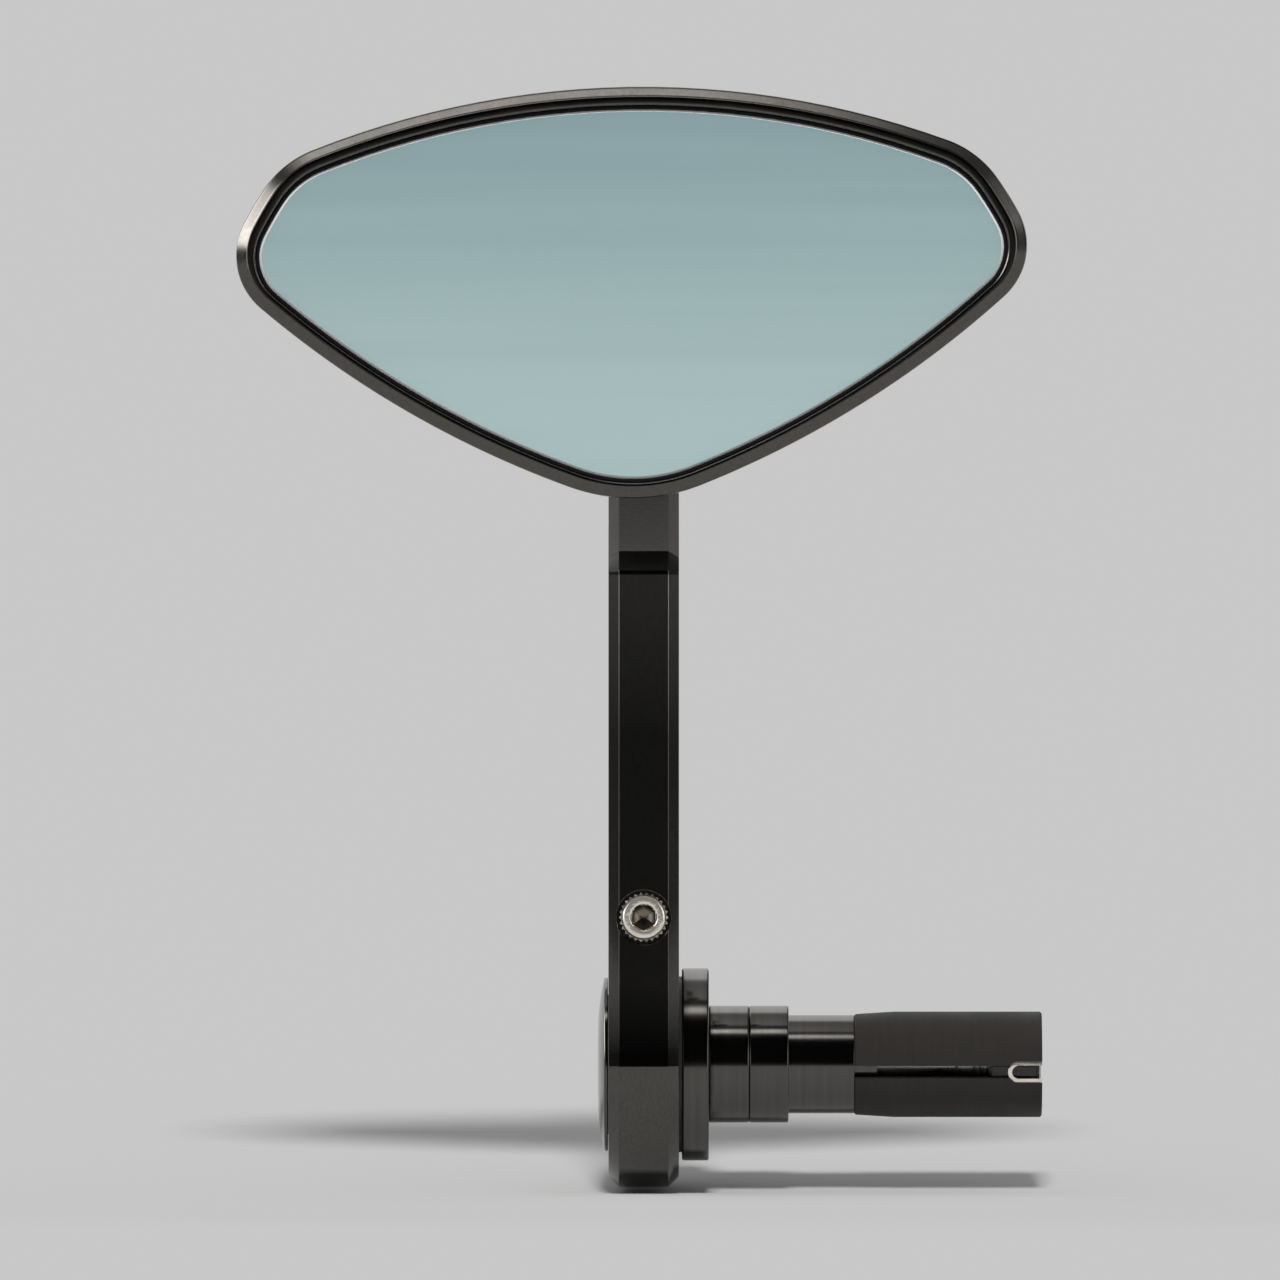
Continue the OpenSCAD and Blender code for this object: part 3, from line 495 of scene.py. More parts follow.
def threadTree(finish, sizes):
    tree, sockets = newTree("screw thread", sizes)
    start = addNode(tree, "NodeGroupInput", -900, 0)
    height = addNode(tree, "ShaderNodeMath", -700, -150, operation="MULTIPLY")
    spiral = addNode(tree, "GeometryNodeCurveSpiral", -500, 0)
    spiral.inputs["Resolution"].default_value = 28
    section = addNode(tree, "GeometryNodeCurvePrimitiveCircle", -500, -300)
    section.inputs["Resolution"].default_value = 4
    sweep = addNode(tree, "GeometryNodeCurveToMesh", -250, 0)
    sweep.inputs["Fill Caps"].default_value = True
    link(tree, [
        (start.outputs["Turns"], height.inputs[0]), (start.outputs["Pitch"], height.inputs[1]),
        (start.outputs["Turns"], spiral.inputs["Rotations"]), (height.outputs[0], spiral.inputs["Height"]),
        (start.outputs["Radius"], spiral.inputs["Start Radius"]),
        (start.outputs["Radius"], spiral.inputs["End Radius"]),
        (start.outputs["Tooth"], section.inputs["Radius"]), (spiral.outputs[0], sweep.inputs["Curve"]),
        (section.outputs[0], sweep.inputs["Profile Curve"])])
    endTree(tree, sweep.outputs[0], finish, 0)
    return tree, sockets


def screwRingTree(finish, sizes):
    tree, sockets = newTree("ring of screws", sizes)
    start = addNode(tree, "NodeGroupInput", -700, 0)
    circle = addNode(tree, "GeometryNodeMeshCircle", -450, 0)
    turn = addNode(tree, "GeometryNodeTransform", -250, 0)
    angle = addNode(tree, "ShaderNodeCombineXYZ", -450, -250)
    place = addNode(tree, "GeometryNodeInstanceOnPoints", -50, 0)
    link(tree, [
        (start.outputs["Count"], circle.inputs["Vertices"]), (start.outputs["Radius"], circle.inputs["Radius"]),
        (start.outputs["Start angle"], angle.inputs["Z"]), (angle.outputs[0], turn.inputs["Rotation"]),
        (circle.outputs[0], turn.inputs["Geometry"]), (turn.outputs[0], place.inputs["Points"]),
        (start.outputs["Geometry"], place.inputs["Instance"])])
    endTree(tree, place.outputs[0], finish, 150)
    return tree, sockets


# a socket head along +Z, from its top at 0 to its seat at h, with a hex socket, on a plain shank
def socketScrew(name, v):
    rim = roundedOutline([(0, v["mouth"], v["lip"]), (0, v["head"], v["edge"]), (v["height"], v["head"], 0.2),
        (v["height"], v["shank"], 0.1), (v["length"], v["shank"], 0.25), (v["length"], 0, 0)], 0)
    steps = 96
    bm = bmesh.new()
    rings = []
    for along, r in rim[:-1]:
        rings.append([bm.verts.new(Vector((r * cos(2 * pi * j / steps), r * sin(2 * pi * j / steps), along)) * mm)
            for j in range(steps)])
    tip = bm.verts.new(Vector((0, 0, v["length"])) * mm)
    # hexagon sampled at the same angles, so the mouth blends from round to six sided
    flat = v["flats"] / 2
    hexRadius = [flat / cos((2 * pi * j / steps + pi / 6) % (pi / 3) - pi / 6) for j in range(steps)]
    levels = [0.12, 0.3, v["socket"] - 0.05, v["socket"]]
    grow = [0.16, 0.0, 0.0, -0.05]
    for depth, extra in zip(levels, grow):
        rings.insert(0, [bm.verts.new(Vector(((hexRadius[j] + extra) * cos(2 * pi * j / steps),
            (hexRadius[j] + extra) * sin(2 * pi * j / steps), depth)) * mm) for j in range(steps)])
    for a, b in zip(rings, rings[1:]):
        for j in range(steps):
            k = (j + 1) % steps
            bm.faces.new((a[j], a[k], b[k], b[j]))
    floor = bm.verts.new(Vector((0, 0, v["socket"] + 0.6)) * mm)
    for j in range(steps):
        k = (j + 1) % steps
        bm.faces.new((floor, rings[0][k], rings[0][j]))
        bm.faces.new((tip, rings[-1][j], rings[-1][k]))
    return tidyMesh(bm, name, 30)


pinch = {"head": 3.8, "edge": 1.25, "mouth": 2.25, "lip": 0.25, "height": 5.0, "flats": 3.6, "socket": 2.6,
    "shank": 2.3, "length": 25.5, "threadStart": 17.0}
pinchAt = (armX, -20.3, 25.3)      # top of the pinch screw's head
paintedSocketShade = {"top": 0.1, "bottom": 3.3, "radius": 2.15}     # the part of the head, its socket, that is darkened as painted shade
pinchKnurl = {"Count": 26, "Radius": 3.74, "Ridge": 0.48, "Length": 4.0}
pinchThread = {"Turns": 10.0, "Pitch": 0.8, "Radius": 2.2, "Tooth": 0.28}
plug = {"head": 4.74, "edge": 0.5, "mouth": 3.2, "lip": 0.2, "height": 6.0, "flats": 5.0, "socket": 3.0,
    "shank": 2.78, "length": 75.0, "threadStart": 60.4}
plugKnurl = {"Count": 52, "Radius": 4.74, "Ridge": 0.25, "Length": 4.8}
plugThread = {"Turns": 14.0, "Pitch": 1.0, "Radius": 2.68, "Tooth": 0.3}


def scaledSizes(sizes):
    return {k: v if isinstance(v, int) or k in ("Turns", "Start angle") else v * mm for k, v in sizes.items()}


def makeScrew(name, sizes, knurl, thread, finish):
    body = socketScrew(name + "Body", sizes)
    empty = bpy.data.meshes.new("empty")
    tree, sockets = knurlTree(finish, knurl)
    ridges = bakeTree(name + "Knurl", empty, tree, sockets, scaledSizes(knurl))
    moved(ridges, Matrix.Translation((0, 0, (sizes["height"] - 0.1 - knurl["Length"] / 2) * mm)))
    tree, sockets = threadTree(finish, thread)
    spiral = bakeTree(name + "Thread", empty, tree, sockets, scaledSizes(thread))
    moved(spiral, Matrix.Translation((0, 0, sizes["threadStart"] * mm)))
    return joinMeshes(name + "Mesh", [body, ridges, spiral], 30)


pinchMesh = makeScrew("pinchScrew", pinch, pinchKnurl, pinchThread, brightSteel)
moved(pinchMesh, Matrix.Translation(Vector(pinchAt) * mm) @ Matrix.Rotation(radians(-90), 4, "X"))
makePiece("pinchScrew", pinchMesh, brightSteel, "arm", "bright_steel", "pinch_screw")
# the hex socket's faces get the darker steel, painted shade in the recess
pinchMesh.materials.append(socketShadeSteel)
for face in pinchMesh.polygons:
    place = face.center / mm - Vector(pinchAt)
    if paintedSocketShade["top"] < place.y < paintedSocketShade["bottom"] and hypot(place.x, place.z) < paintedSocketShade["radius"]:
        face.material_index = 1

plugMesh = makeScrew("plugBolt", plug, plugKnurl, plugThread, plainSteel)
moved(plugMesh, Matrix.Translation(Vector((barX["boltTop"], 0, 0)) * mm) @ Matrix.Rotation(radians(90), 4, "Y"))
makePiece("plugBolt", plugMesh, plainSteel, "bar_plug", "plain_steel", "plug_bolt")
print("screws made")

# the milled arm, the sleeve and the small cast or milled parts keep their solids, with rounded edges
edgeRounds = {"arm": 0.28, "sleeve": 0.12, "clip": 0.08, "nut": 0.2, "ring": 0.2}
# which of the arm's faces get which finish: the lean is 0 upright and grows as a face looks up
armFaces = {"slopeFrom": 0.08, "ahead": 0.3, "bendLean": 0.12, "slopeLean": 0.85, "front": 0.6, "upright": 0.02}

arm = makePiece("milledArm", refined("arm", edgeRounds["arm"]), armBlack, "arm", "arm_black", "arm")
for finish in (facetPaintedHighlight, bendPaintedShade, frontPaintedReflectionBlack):
    arm.data.materials.append(finish)
for face in arm.data.polygons:      # the slope's front face and chamfers get a lighter base as a painted highlight, the bend's faces a near black one as painted shade, and the upright front face its painted reflection bands
    ahead = -face.normal.y
    onSlope = ahead > armFaces["ahead"] and face.center.z > armFaces["slopeFrom"]
    lean = face.normal.z / ahead if onSlope else 0
    if lean > armFaces["bendLean"]:
        face.material_index = 1 if lean > armFaces["slopeLean"] else 2
    elif ahead > armFaces["front"] and abs(face.normal.z) < armFaces["upright"]:
        face.material_index = 3
makePiece("splitSleeve", refined("split_sleeve", edgeRounds["sleeve"]), sleeveBlack,
    "bar_plug", "matte_black", "split_sleeve")
makePiece("slotClip", refined("slot_clip", edgeRounds["clip"]), brightSteel, "bar_plug", "bright_steel", "slot_clip")
makePiece("studNut", refined("stud_nut", edgeRounds["nut"]), plainSteel, "stud", "plain_steel", "stud_nut")
makePiece("ballRing", refined("ball_ring", edgeRounds["ring"]), ringBlack, "head", "turned_black", "ball_ring")
# the cone nut, seen through the sleeve's slit, gets near black steel as painted shade in the slit
for nodeName, finish in (("cone_nut", darkSteelShade), ("bolt_washer", plainSteel), ("stud_washer", plainSteel),
        ("thrust_washer", washerPlastic), ("ball_seat", seatPlastic), ("backing_pad", foamBlack)):
    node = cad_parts[nodeName]
    for slot in node.material_slots:
        slot.material = finish
print("milled parts refined")

# the ball stud
stud = {"ball": 7.0, "neck": 3.2, "flange": 6.2, "shank": 2.78, "reach": 14.2, "end": 29.7}
studThread = {"Turns": 15.0, "Pitch": 1.0, "Radius": 2.68, "Tooth": 0.3}


def studOutline():
    ball = stud["ball"]
    start = pi * 0.1
    span = pi - asin(stud["neck"] / ball) - start
    turns = [start + span * i / 40 for i in range(41)]
    sphere = [(-ball * cos(t), ball * sin(t), 0) for t in turns]
    front, mouth = sphere[0][0], sphere[0][1] - 0.3     # a shallow hollow in the ball's front
    reach = stud["reach"]
    return roundedOutline([(-ball + 3, 0, 0), (-ball + 3, mouth, 0), (front, mouth, 0.1)] + sphere + [
        (reach - 1.5, stud["neck"], 0.4), (reach - 1.5, stud["flange"], 0.25), (reach, stud["flange"], 0.25),
        (reach, stud["shank"], 0), (stud["end"], stud["shank"], 0.4), (stud["end"], 0, 0)], 0)


studBody = turned("studBody", studOutline(), (0, 0, 0), "Y", 96)
tree, sockets = threadTree(plainSteel, studThread)
studSpiral = bakeTree("studSpiral", bpy.data.meshes.new("empty"), tree, sockets, scaledSizes(studThread))
moved(studSpiral, Matrix.Translation((0, stud["reach"] * mm, 0)) @ Matrix.Rotation(radians(-90), 4, "X"))
studMesh = joinMeshes("studMesh", [studBody, studSpiral])
moved(studMesh, Matrix.Translation(Vector(ballAt) * mm))
makePiece("ballStud", studMesh, plainSteel, "stud", "plain_steel", "ball_stud")

# the small screws that hold the retaining ring
ringScrew = {"head": 1.85, "edge": 0.2, "mouth": 1.05, "lip": 0.08, "height": 1.7, "flats": 1.5, "socket": 0.9,
    "shank": 0.88, "length": 6.8}
screwRing = {"Count": 3, "Radius": 10.6, "Start angle": 30.0}
ringScrewTop = 4.8     # behind the ball's centre
oneScrew = socketScrew("ringScrewBody", ringScrew)
tree, sockets = screwRingTree(brightSteel, screwRing)
ringSizes = scaledSizes(screwRing)
ringSizes["Start angle"] = radians(screwRing["Start angle"])
ringMesh = bakeTree("ringScrewMesh", oneScrew, tree, sockets, ringSizes)
# heads look back along +Y, just under the ring's face
moved(ringMesh, ballHeadMatrix @ Matrix.Translation((0, ringScrewTop * mm, 0)) @ Matrix.Rotation(radians(90), 4, "X"))
makePiece("ringScrews", ringMesh, brightSteel, "head", "bright_steel", "ring_screws")
print("ball joint made")

# the mirror head, on the glass's outline of five corners and five edges
head = {"rimWidth": 3.55, "rimDepth": 6.5, "depth": 11.0, "wall": 2.0, "ledge": 4.0, "ledgeDepth": 4.3,
    "ledgeThick": 0.6, "gap": 0.7, "hubRing": 15.5, "hole": 12.4, "backSteps": 14, "backCurve": 1.25,
    "grow": 0.006, "lift": 0.3, "cornerSteps": 16, "edgeSteps": 26, "sharpAngle": 34}
corners = [((54.82, -9.03), 8.22), ((47.2, -7.66), 14.06), ((-47.2, -7.66), 14.06), ((-54.82, -9.03), 8.22),
    ((0.0, -19.96), 27.51)]
edgeRadii = [58.3, 146.2, 58.3, 166.5, 166.5]


def edgeCentre(i):
    a, ra = corners[i]
    b, rb = corners[(i + 1) % 5]
    ra, rb = edgeRadii[i] - ra, edgeRadii[i] - rb
    way = Vector(b) - Vector(a)
    d = way.length
    along = (ra * ra - rb * rb + d * d) / (2 * d)
    side = sqrt(max(0, ra * ra - along * along))
    return Vector(a) + along * way / d + side * Vector((-way.y, way.x)) / d


edgeCentres = [edgeCentre(i) for i in range(5)]


def bearing(v):
    return atan2(v.y, v.x)


def glassOutline(offset):
    points = []
    for i, (corner, r) in enumerate(corners):
        corner = Vector(corner)
        start = bearing(corner - edgeCentres[i - 1])
        end = bearing(corner - edgeCentres[i])
        if end < start:
            end += 2 * pi
        for k in range(head["cornerSteps"] + 1):
            t = start + (end - start) * k / head["cornerSteps"]
            points.append(corner + (r + offset) * Vector((cos(t), sin(t))))
        centre = edgeCentres[i]
        start = bearing(corner - centre)
        end = bearing(Vector(corners[(i + 1) % 5][0]) - centre)
        if end < start:
            end += 2 * pi
        for k in range(1, head["edgeSteps"]):
            t = start + (end - start) * k / head["edgeSteps"]
            points.append(centre + (edgeRadii[i] + offset) * Vector((cos(t), sin(t))))
    return points


def rimLine(offset, part):
    return [Vector((p.x * (1 + part * head["grow"]), p.y + part * head["lift"])) for p in glassOutline(offset)]


def toward(points, radius, t):
    out = []
    for p in points:
        way = p - ballUW
        out.append(p + t * (ballUW + radius * way.normalized() - p))
    return out


# joins rings of (line, depth) one after the other, and the last to the first
def loft(name, rings, sharpAngle=38):
    n = len(rings[0][0])
    points = [(p.x, depth, p.y) for line, depth in rings for p in line]
    m = len(rings)
    faces = []
    for i in range(m):
        j = (i + 1) % m
        for k in range(n):
            q = (k + 1) % n
            faces.append((i * n + k, i * n + q, j * n + q, j * n + k))
    return meshFrom(name, points, faces, sharpAngle)


# smooth curve through the rim's section points (offset, depth, part of the growth)
def smoothSection(points, steps):
    out = []
    for i in range(len(points) - 1):
        p0, p1, p2, p3 = (Vector(points[max(0, min(len(points) - 1, i + k))]) for k in (-1, 0, 1, 2))
        for k in range(steps):
            t = k / steps
            out.append(0.5 * (2 * p1 + (p2 - p0) * t + (2 * p0 - 5 * p1 + 4 * p2 - p3) * t * t
                + (3 * p1 - p0 - 3 * p2 + p3) * t ** 3))
    out.append(Vector(points[-1]))
    return out


def makeShell():
    w = head["rimWidth"]
    deep = head["rimDepth"]
    outside = smoothSection([(0.65 * w, deep, 1), (0.87 * w, deep - 0.9, 1), (w, deep - 2.3, 1), (w, 2.6, 1)], 4)
    front = smoothSection([(w, 2.6, 1), (w, 1.95, 1), (w - 0.03, 1.7, 1), (w - 0.16, 1.45, 1), (w - 0.4, 1.26, 1),
        (2.75, 0.98, 1), (2.35, 0.70, 1), (2.05, 0.49, 1), (1.88, 0.33, 0.95), (1.72, 0.23, 0.8), (1.5, 0.2, 0.6)], 3)
    lip = smoothSection([(1.5, 0.2, 0.6), (1.1, 0.2, 0), (0.88, 0.26, 0), (0.72, 0.5, 0), (head["gap"], 0.8, 0)], 3)
    section = outside + front[1:] + lip[1:] + [Vector((head["gap"], head["ledgeDepth"], 0))]
    edge = rimLine(0.65 * w, 1)
    inner = glassOutline(-head["ledge"])
    rise = head["depth"] - deep
    rings = [(toward(edge, head["hole"], 1), head["depth"])]
    for i in range(head["backSteps"]):
        t = (1 - i / head["backSteps"]) ** head["backCurve"]
        rings.append((toward(edge, head["hubRing"], t), deep + rise * sin(pi / 2 * t)))
    for s in section:
        rings.append((rimLine(s.x, s.z), s.y))
    rings.append((inner, head["ledgeDepth"]))
    rings.append((inner, head["ledgeDepth"] + head["ledgeThick"]))
    for t in (0.1, 0.3, 0.6, 0.85, 1):
        rings.append((toward(inner, head["hubRing"], t), deep + rise * sin(pi / 2 * t) - head["wall"]))
    rings.append((toward(inner, head["hole"], 1), head["depth"] - head["wall"]))
    return loft("shellLoft", rings, head["sharpAngle"])


# the boss round the ball, with its cup, along the ball's axis from the ball's centre
boss = {"recess": 8.7, "radius": 13.0, "back": 2.2, "front": -10.0}


def makeBoss():
    recess, outer = boss["recess"], boss["radius"]
    turns = [pi / 2 * i / 16 for i in range(1, 17)]
    cup = [(-recess * cos(t), recess * sin(t), 0) for t in turns]
    outline = roundedOutline([(-recess, 0, 0)] + cup + [(boss["back"], recess, 0.1), (boss["back"], outer, 0.25),
        (-1.9, outer, 0), (-2.5, outer + 0.25, 0), (-3.0, outer + 0.75, 0), (-3.3, outer + 1.5, 0),
        (-3.4, outer + 1.5, 0), (-4.0, outer, 0), (boss["front"], outer, 0), (boss["front"], 0, 0)], 0)
    return turned("bossMesh", outline, (0, 0, 0), "Y", 128)


shellMesh = moved(makeShell(), headMatrix)
bossMesh = moved(makeBoss(), ballHeadMatrix)
makePiece("headShell", joinMeshes("headShellMesh", [shellMesh, bossMesh], head["sharpAngle"]), shellBlack,
    "head", "shell_black", "head_shell")

seal = {"inside": 0.05, "outside": 0.65, "front": 1.2, "back": 4.3, "round": 0.18}
sealSection = roundedOutline([(seal["inside"], seal["front"]), (seal["outside"], seal["front"]),
    (seal["outside"], seal["back"], 0), (seal["inside"], seal["back"], 0)], seal["round"], 3)
sealMesh = loft("sealMesh", [(glassOutline(a), b) for a, b in sealSection])
makePiece("glassSeal", moved(sealMesh, headMatrix), rubberBlack, "head", "black_rubber", "glass_seal")

# the glass starts flat; the tree raises its face by Bulge at the middle, falling to nothing at the edge
glass = {"bevel": 0.4, "front": 1.3, "back": 3.3, "rings": 14, "groundFrom": -0.85, "groundTo": -0.5}
glassRule = {"Bulge": 0.35}


def bulgeTree(finish, sizes):
    tree, sockets = newTree("bulged glass", sizes)
    start = addNode(tree, "NodeGroupInput", -900, 0)
    spread = addNode(tree, "GeometryNodeInputNamedAttribute", -900, -200, data_type="FLOAT")
    spread.inputs["Name"].default_value = "spread"
    square = addNode(tree, "ShaderNodeMath", -700, -200, operation="MULTIPLY")
    rest = addNode(tree, "ShaderNodeMath", -520, -200, operation="SUBTRACT")
    rest.inputs[0].default_value = 1.0
    lift = addNode(tree, "ShaderNodeMath", -340, -200, operation="MULTIPLY")
    forward = addNode(tree, "ShaderNodeMath", -340, -380, operation="MULTIPLY")
    forward.inputs[1].default_value = -1.0
    offset = addNode(tree, "ShaderNodeCombineXYZ", -160, -200)
    shift = addNode(tree, "GeometryNodeSetPosition", 40, 0)
    link(tree, [
        (spread.outputs[0], square.inputs[0]), (spread.outputs[0], square.inputs[1]),
        (square.outputs[0], rest.inputs[1]), (rest.outputs[0], lift.inputs[0]),
        (start.outputs["Bulge"], lift.inputs[1]), (lift.outputs[0], forward.inputs[0]),
        (forward.outputs[0], offset.inputs["Y"]),
        (start.outputs["Geometry"], shift.inputs["Geometry"]), (offset.outputs[0], shift.inputs["Offset"])])
    endTree(tree, shift.outputs[0], finish, 240)
    return tree, sockets


def makeGlass():
    edge = glassOutline(0)
    face = glassOutline(-glass["bevel"])
    rings = [(edge, glass["back"]), (edge, glass["front"] + glass["bevel"]), (face, glass["front"])]
    spreads = [1.0, 1.0, 1.0]
    for i in range(1, glass["rings"]):
        s = 1 - i / glass["rings"]
        rings.append(([ballUW + s * (p - ballUW) for p in face], glass["front"]))
        spreads.append(s)
    n = len(edge)
    points = [(p.x, depth, p.y) for line, depth in rings for p in line]
    points.append((ballUW.x, glass["front"], ballUW.y))
    faces = [[i * n + k, i * n + (k + 1) % n, (i + 1) * n + (k + 1) % n, (i + 1) * n + k]
        for i in range(len(rings) - 1) for k in range(n)]
    top = (len(rings) - 1) * n
    faces += [[top + k, top + (k + 1) % n, len(points) - 1] for k in range(n)]
    faces.append(list(range(n))[::-1])
    mesh = bpy.data.meshes.new("glassBlank")
    mesh.from_pydata([Vector(p) * mm for p in points], [], faces)
    layer = mesh.attributes.new("spread", "FLOAT", "POINT")
    values = [s for s in spreads for k in range(n)] + [0.0]
    layer.data.foreach_set("value", values)
    tree, sockets = bulgeTree(mirrorBlueReflection, glassRule)
    baked = bakeTree("glassMesh", mesh, tree, sockets, scaledSizes(glassRule))
    bm = bmesh.new()
    bm.from_mesh(baked)
    return tidyMesh(bm, "mirrorGlassMesh", 25)


def groundEdgeAndHighlight(mesh):
    mesh.materials.append(edgeGlassHighlight)
    for face in mesh.polygons:      # the small bevel round the front is ground, not polished, and its pale tone is also a painted highlight along the edge
        if glass["groundFrom"] < face.normal.y < glass["groundTo"]:
            face.material_index = 1


glassMesh = makeGlass()
mirrorGlass = makePiece("mirrorGlass", glassMesh, mirrorBlueReflection, "head", "mirror_glass", "mirror_glass")
groundEdgeAndHighlight(glassMesh)
moved(glassMesh, headMatrix)
print("mirror head made")

# a plain pale floor, flat under the object and rising gently behind it
stage = {"floor": -21.9, "colour": 0.53, "seen": 0.578, "near": -200.0, "foot": 0.0, "ramp": 38.0,
    "rise": 3.7, "slope": 0.067, "back": 700.0, "front": -720.0, "width": 3000.0, "clear": (0.16, 0.30)}


def stageFinish():
    finish = bpy.data.materials.new("plain pale floor")
    finish.use_nodes = True
    tree = finish.node_tree
    tree.nodes.clear()
    matte = addNode(tree, "ShaderNodeBsdfDiffuse", -200, 0)
    matte.inputs["Color"].default_value = (stage["colour"],) * 3 + (1,)
    plain = addNode(tree, "ShaderNodeEmission", -200, -150)
    plain.inputs["Color"].default_value = (stage["seen"],) * 3 + (1,)
    place = addNode(tree, "ShaderNodeTexCoord", -1000, 0)
    size = addNode(tree, "ShaderNodeVectorMath", -800, 0, operation="LENGTH")
    far = addNode(tree, "ShaderNodeMapRange", -600, 0)
    far.interpolation_type = "SMOOTHSTEP"
    far.inputs["From Min"].default_value, far.inputs["From Max"].default_value = stage["clear"]
    path = addNode(tree, "ShaderNodeLightPath", -800, -300)
    seen = addNode(tree, "ShaderNodeMath", -400, -100, operation="MULTIPLY")
    mix = addNode(tree, "ShaderNodeMixShader", 0, 0)
    out = addNode(tree, "ShaderNodeOutputMaterial", 200, 0)
    link(tree, [
        (place.outputs["Object"], size.inputs[0]), (size.outputs["Value"], far.inputs[0]),
        (far.outputs[0], seen.inputs[0]), (path.outputs["Is Camera Ray"], seen.inputs[1]),
        (seen.outputs[0], mix.inputs[0]), (matte.outputs[0], mix.inputs[1]), (plain.outputs[0], mix.inputs[2]),
        (mix.outputs[0], out.inputs[0])])
    return finish


def makeStage():
    step = stage["floor"] + stage["rise"]
    line = [(stage["front"], stage["floor"]), (stage["near"], stage["floor"]), (stage["foot"], stage["floor"]),
        (stage["ramp"], step), (stage["back"], step + stage["slope"] * (stage["back"] - stage["ramp"]))]
    half = stage["width"]
    points = []
    for y, z in line:
        points += [(-half, y, z), (half, y, z)]
    faces = [(2 * i, 2 * i + 1, 2 * i + 3, 2 * i + 2) for i in range(len(line) - 1)]
    mesh = bpy.data.meshes.new("sweepMesh")
    mesh.from_pydata([Vector(p) * mm for p in points], [], faces)
    mesh.shade_smooth()
    mesh.materials.append(stageFinish())
    addObject("paleSweep", mesh)


makeStage()


# even light for matt surfaces; what gloss reflects is a plain studio: pale floor, dark room, soft lights above
studio = {"plain": 0.47, "sun": 2.48, "sunHeight": 48, "sunSpread": 10, "background": 0.578}
# angle up from the front through overhead to the back, and the brightness there
studioSky = [
    (-90, 0.55), (-4, 0.52), (-2.2, 0.09), (1.5, 0.07), (4, 0.012), (58, 0.012), (64, 0.25), (67, 3.5), (72, 3.7),
    (75, 0.45), (81, 0.3), (86, 0.9), (112, 0.55), (120, 0.62), (128, 2.0), (150, 1.2), (165, 0.8), (200, 0.5),
    (270, 0.5)]
# the lamps at both sides: from this part of a direction to that one, and the value at either
studioSides = {"leftSide": (-0.72, -0.86, 0.0, 1.0), "leftLow": (0.10, 0.20, 0.0, 1.0),
    "leftHigh": (0.80, 0.66, 0.0, 9.0), "rightFar": (0.3, 0.6, 0.15, 0.02), "rightNear": (0.94, 0.84, 1.0, 12.0),
    "rightFade": (0.06, 0.30, 1.0, 0.12), "share": (0.4, 0.65, 0.0, 1.0)}


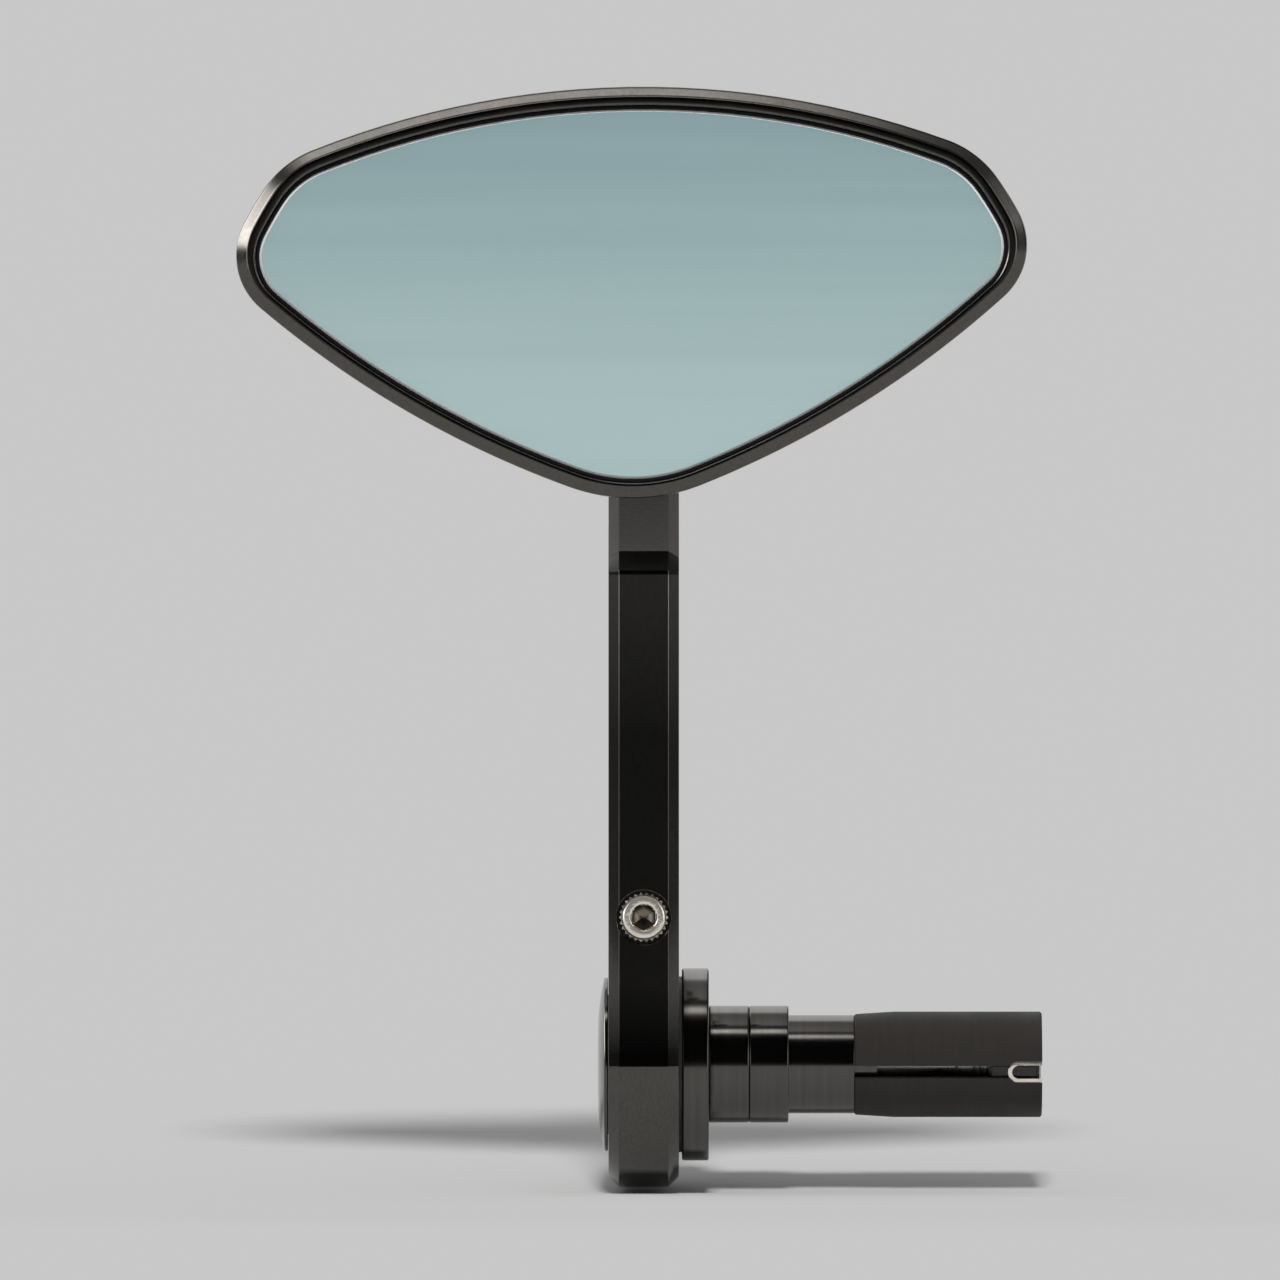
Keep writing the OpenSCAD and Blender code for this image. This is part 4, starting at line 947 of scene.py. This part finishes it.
def makeWorld():
    world = bpy.data.worlds.new("studio")
    bpy.context.scene.world = world
    world.use_nodes = True
    tree = world.node_tree
    tree.nodes.clear()
    direction = addNode(tree, "ShaderNodeTexCoord", -1600, 0)
    parts = addNode(tree, "ShaderNodeSeparateXYZ", -1400, 0)
    back = addNode(tree, "ShaderNodeMath", -1200, -100, operation="MULTIPLY")
    back.inputs[1].default_value = -1.0
    angle = addNode(tree, "ShaderNodeMath", -1000, 0, operation="ARCTAN2")
    wrap = addNode(tree, "ShaderNodeMath", -850, 0, operation="ADD")
    wrap.inputs[1].default_value = pi / 2
    turn = addNode(tree, "ShaderNodeMath", -700, 0, operation="WRAP")
    turn.inputs[1].default_value = 2 * pi
    turn.inputs[2].default_value = 0.0
    share = addNode(tree, "ShaderNodeMath", -550, 0, operation="DIVIDE")
    share.inputs[1].default_value = 2 * pi
    ramp = addNode(tree, "ShaderNodeValToRGB", -400, 0)
    stops = ramp.color_ramp.elements
    peak = max(v for a, v in studioSky)
    for i, (a, v) in enumerate(studioSky):
        place = (a + 90) / 360
        if i < 2:
            stop = stops[i]
            stop.position = place
        else:
            stop = stops.new(place)
        stop.color = (v / peak, v / peak, v / peak, 1)
    # soft lamps at both sides, the left one raised, for the ends and the head's outer edge
    leftLamp = remapped(tree, parts.outputs["X"], *studioSides["leftSide"], -1000, 300)
    leftLow = remapped(tree, parts.outputs["Z"], *studioSides["leftLow"], -1000, 550)
    leftHigh = remapped(tree, parts.outputs["Z"], *studioSides["leftHigh"], -1000, 800)
    rightFar = remapped(tree, parts.outputs["Z"], *studioSides["rightFar"], -1000, 1050)
    aside = addNode(tree, "ShaderNodeMath", -1200, 1250, operation="ABSOLUTE")
    sideShare = remapped(tree, aside.outputs[0], *studioSides["share"], -1000, 1250)
    nearLamp = remapped(tree, aside.outputs[0], *studioSides["rightNear"], -1000, 1450)
    rightLamp = addNode(tree, "ShaderNodeMath", -800, 1450, operation="MULTIPLY")
    link(tree, [(rightFar, rightLamp.inputs[0]), (nearLamp, rightLamp.inputs[1])])
    rightFade = remapped(tree, parts.outputs["X"], *studioSides["rightFade"], -800, 1650)
    aheadShare = remapped(tree, sideShare, 0.0, 1.0, 1.0, 0.0, -800, 1250)
    ahead = addNode(tree, "ShaderNodeMath", -650, 1250, operation="MULTIPLY")
    link(tree, [(rightFade, ahead.inputs[0]), (aheadShare, ahead.inputs[1])])
    aheadSky = addNode(tree, "ShaderNodeMath", -250, 200, operation="MULTIPLY")
    endSky = addNode(tree, "ShaderNodeMath", -650, 1000, operation="MULTIPLY")
    leftBand = addNode(tree, "ShaderNodeMath", -800, 600, operation="MULTIPLY")
    leftWhole = addNode(tree, "ShaderNodeMath", -650, 500, operation="MULTIPLY")
    sides = addNode(tree, "ShaderNodeMath", -500, 400, operation="ADD")
    power = addNode(tree, "ShaderNodeMath", -100, 100, operation="MULTIPLY_ADD")
    power.inputs[1].default_value = peak
    gloss = addNode(tree, "ShaderNodeBackground", 200, 100)
    plain = addNode(tree, "ShaderNodeBackground", 200, -50)
    plain.inputs["Strength"].default_value = studio["plain"]
    plain.inputs["Color"].default_value = (1, 1, 1, 1)
    seen = addNode(tree, "ShaderNodeBackground", 200, -200)
    seen.inputs["Color"].default_value = (studio["background"],) * 3 + (1,)
    path = addNode(tree, "ShaderNodeLightPath", 0, 500)
    either = addNode(tree, "ShaderNodeMath", 200, 400, operation="MAXIMUM")
    mixGloss = addNode(tree, "ShaderNodeMixShader", 450, 0)
    mixSeen = addNode(tree, "ShaderNodeMixShader", 650, 0)
    out = addNode(tree, "ShaderNodeOutputWorld", 850, 0)
    link(tree, [
        (direction.outputs["Generated"], parts.inputs[0]), (parts.outputs["Y"], back.inputs[0]),
        (parts.outputs["Z"], angle.inputs[0]), (back.outputs[0], angle.inputs[1]), (angle.outputs[0], wrap.inputs[0]),
        (wrap.outputs[0], turn.inputs[0]), (turn.outputs[0], share.inputs[0]), (share.outputs[0], ramp.inputs[0]),
        (leftLow, leftBand.inputs[0]), (leftHigh, leftBand.inputs[1]), (leftLamp, leftWhole.inputs[0]),
        (leftBand.outputs[0], leftWhole.inputs[1]), (leftWhole.outputs[0], sides.inputs[0]),
        (parts.outputs["X"], aside.inputs[0]), (sideShare, endSky.inputs[0]), (rightLamp.outputs[0], endSky.inputs[1]),
        (endSky.outputs[0], sides.inputs[1]), (ramp.outputs[0], aheadSky.inputs[0]),
        (ahead.outputs[0], aheadSky.inputs[1]), (aheadSky.outputs[0], power.inputs[0]),
        (sides.outputs[0], power.inputs[2]), (power.outputs[0], gloss.inputs["Strength"]),
        (path.outputs["Is Camera Ray"], either.inputs[0]), (path.outputs["Is Transmission Ray"], either.inputs[1]),
        (path.outputs["Is Glossy Ray"], mixGloss.inputs[0]), (plain.outputs[0], mixGloss.inputs[1]),
        (gloss.outputs[0], mixGloss.inputs[2]), (either.outputs[0], mixSeen.inputs[0]),
        (mixGloss.outputs[0], mixSeen.inputs[1]), (seen.outputs[0], mixSeen.inputs[2]),
        (mixSeen.outputs[0], out.inputs[0])])


makeWorld()


# one broad lamp in front and above, which throws the head's shadow on the floor behind
def addLamp():
    lamp = bpy.data.lights.new("frontLamp", "SUN")
    lamp.energy = studio["sun"]
    lamp.angle = radians(studio["sunSpread"])
    piece = bpy.data.objects.new("frontLamp", lamp)
    bpy.context.scene.collection.objects.link(piece)
    piece.rotation_euler = (radians(90 - studio["sunHeight"]), 0, 0)
    piece.visible_glossy = False


addLamp()

view = {"distance": 4000.0, "plane": -16.0, "centre": (-25.33, 72.42), "wide": 217.6}
lens = bpy.data.cameras.new("photoLens")
lens.sensor_width = 36
lens.lens = 36 * view["distance"] / view["wide"]
lens.clip_start = 0.1
lens.clip_end = 20
camera = bpy.data.objects.new("photoView", lens)
bpy.context.scene.collection.objects.link(camera)
camera.location = Vector((view["centre"][0], view["plane"] - view["distance"], view["centre"][1])) * mm
camera.rotation_euler = (radians(90), 0, 0)
bpy.context.scene.camera = camera
bpy.context.scene.view_settings.view_transform = "Standard"
print("stage, light and camera set")
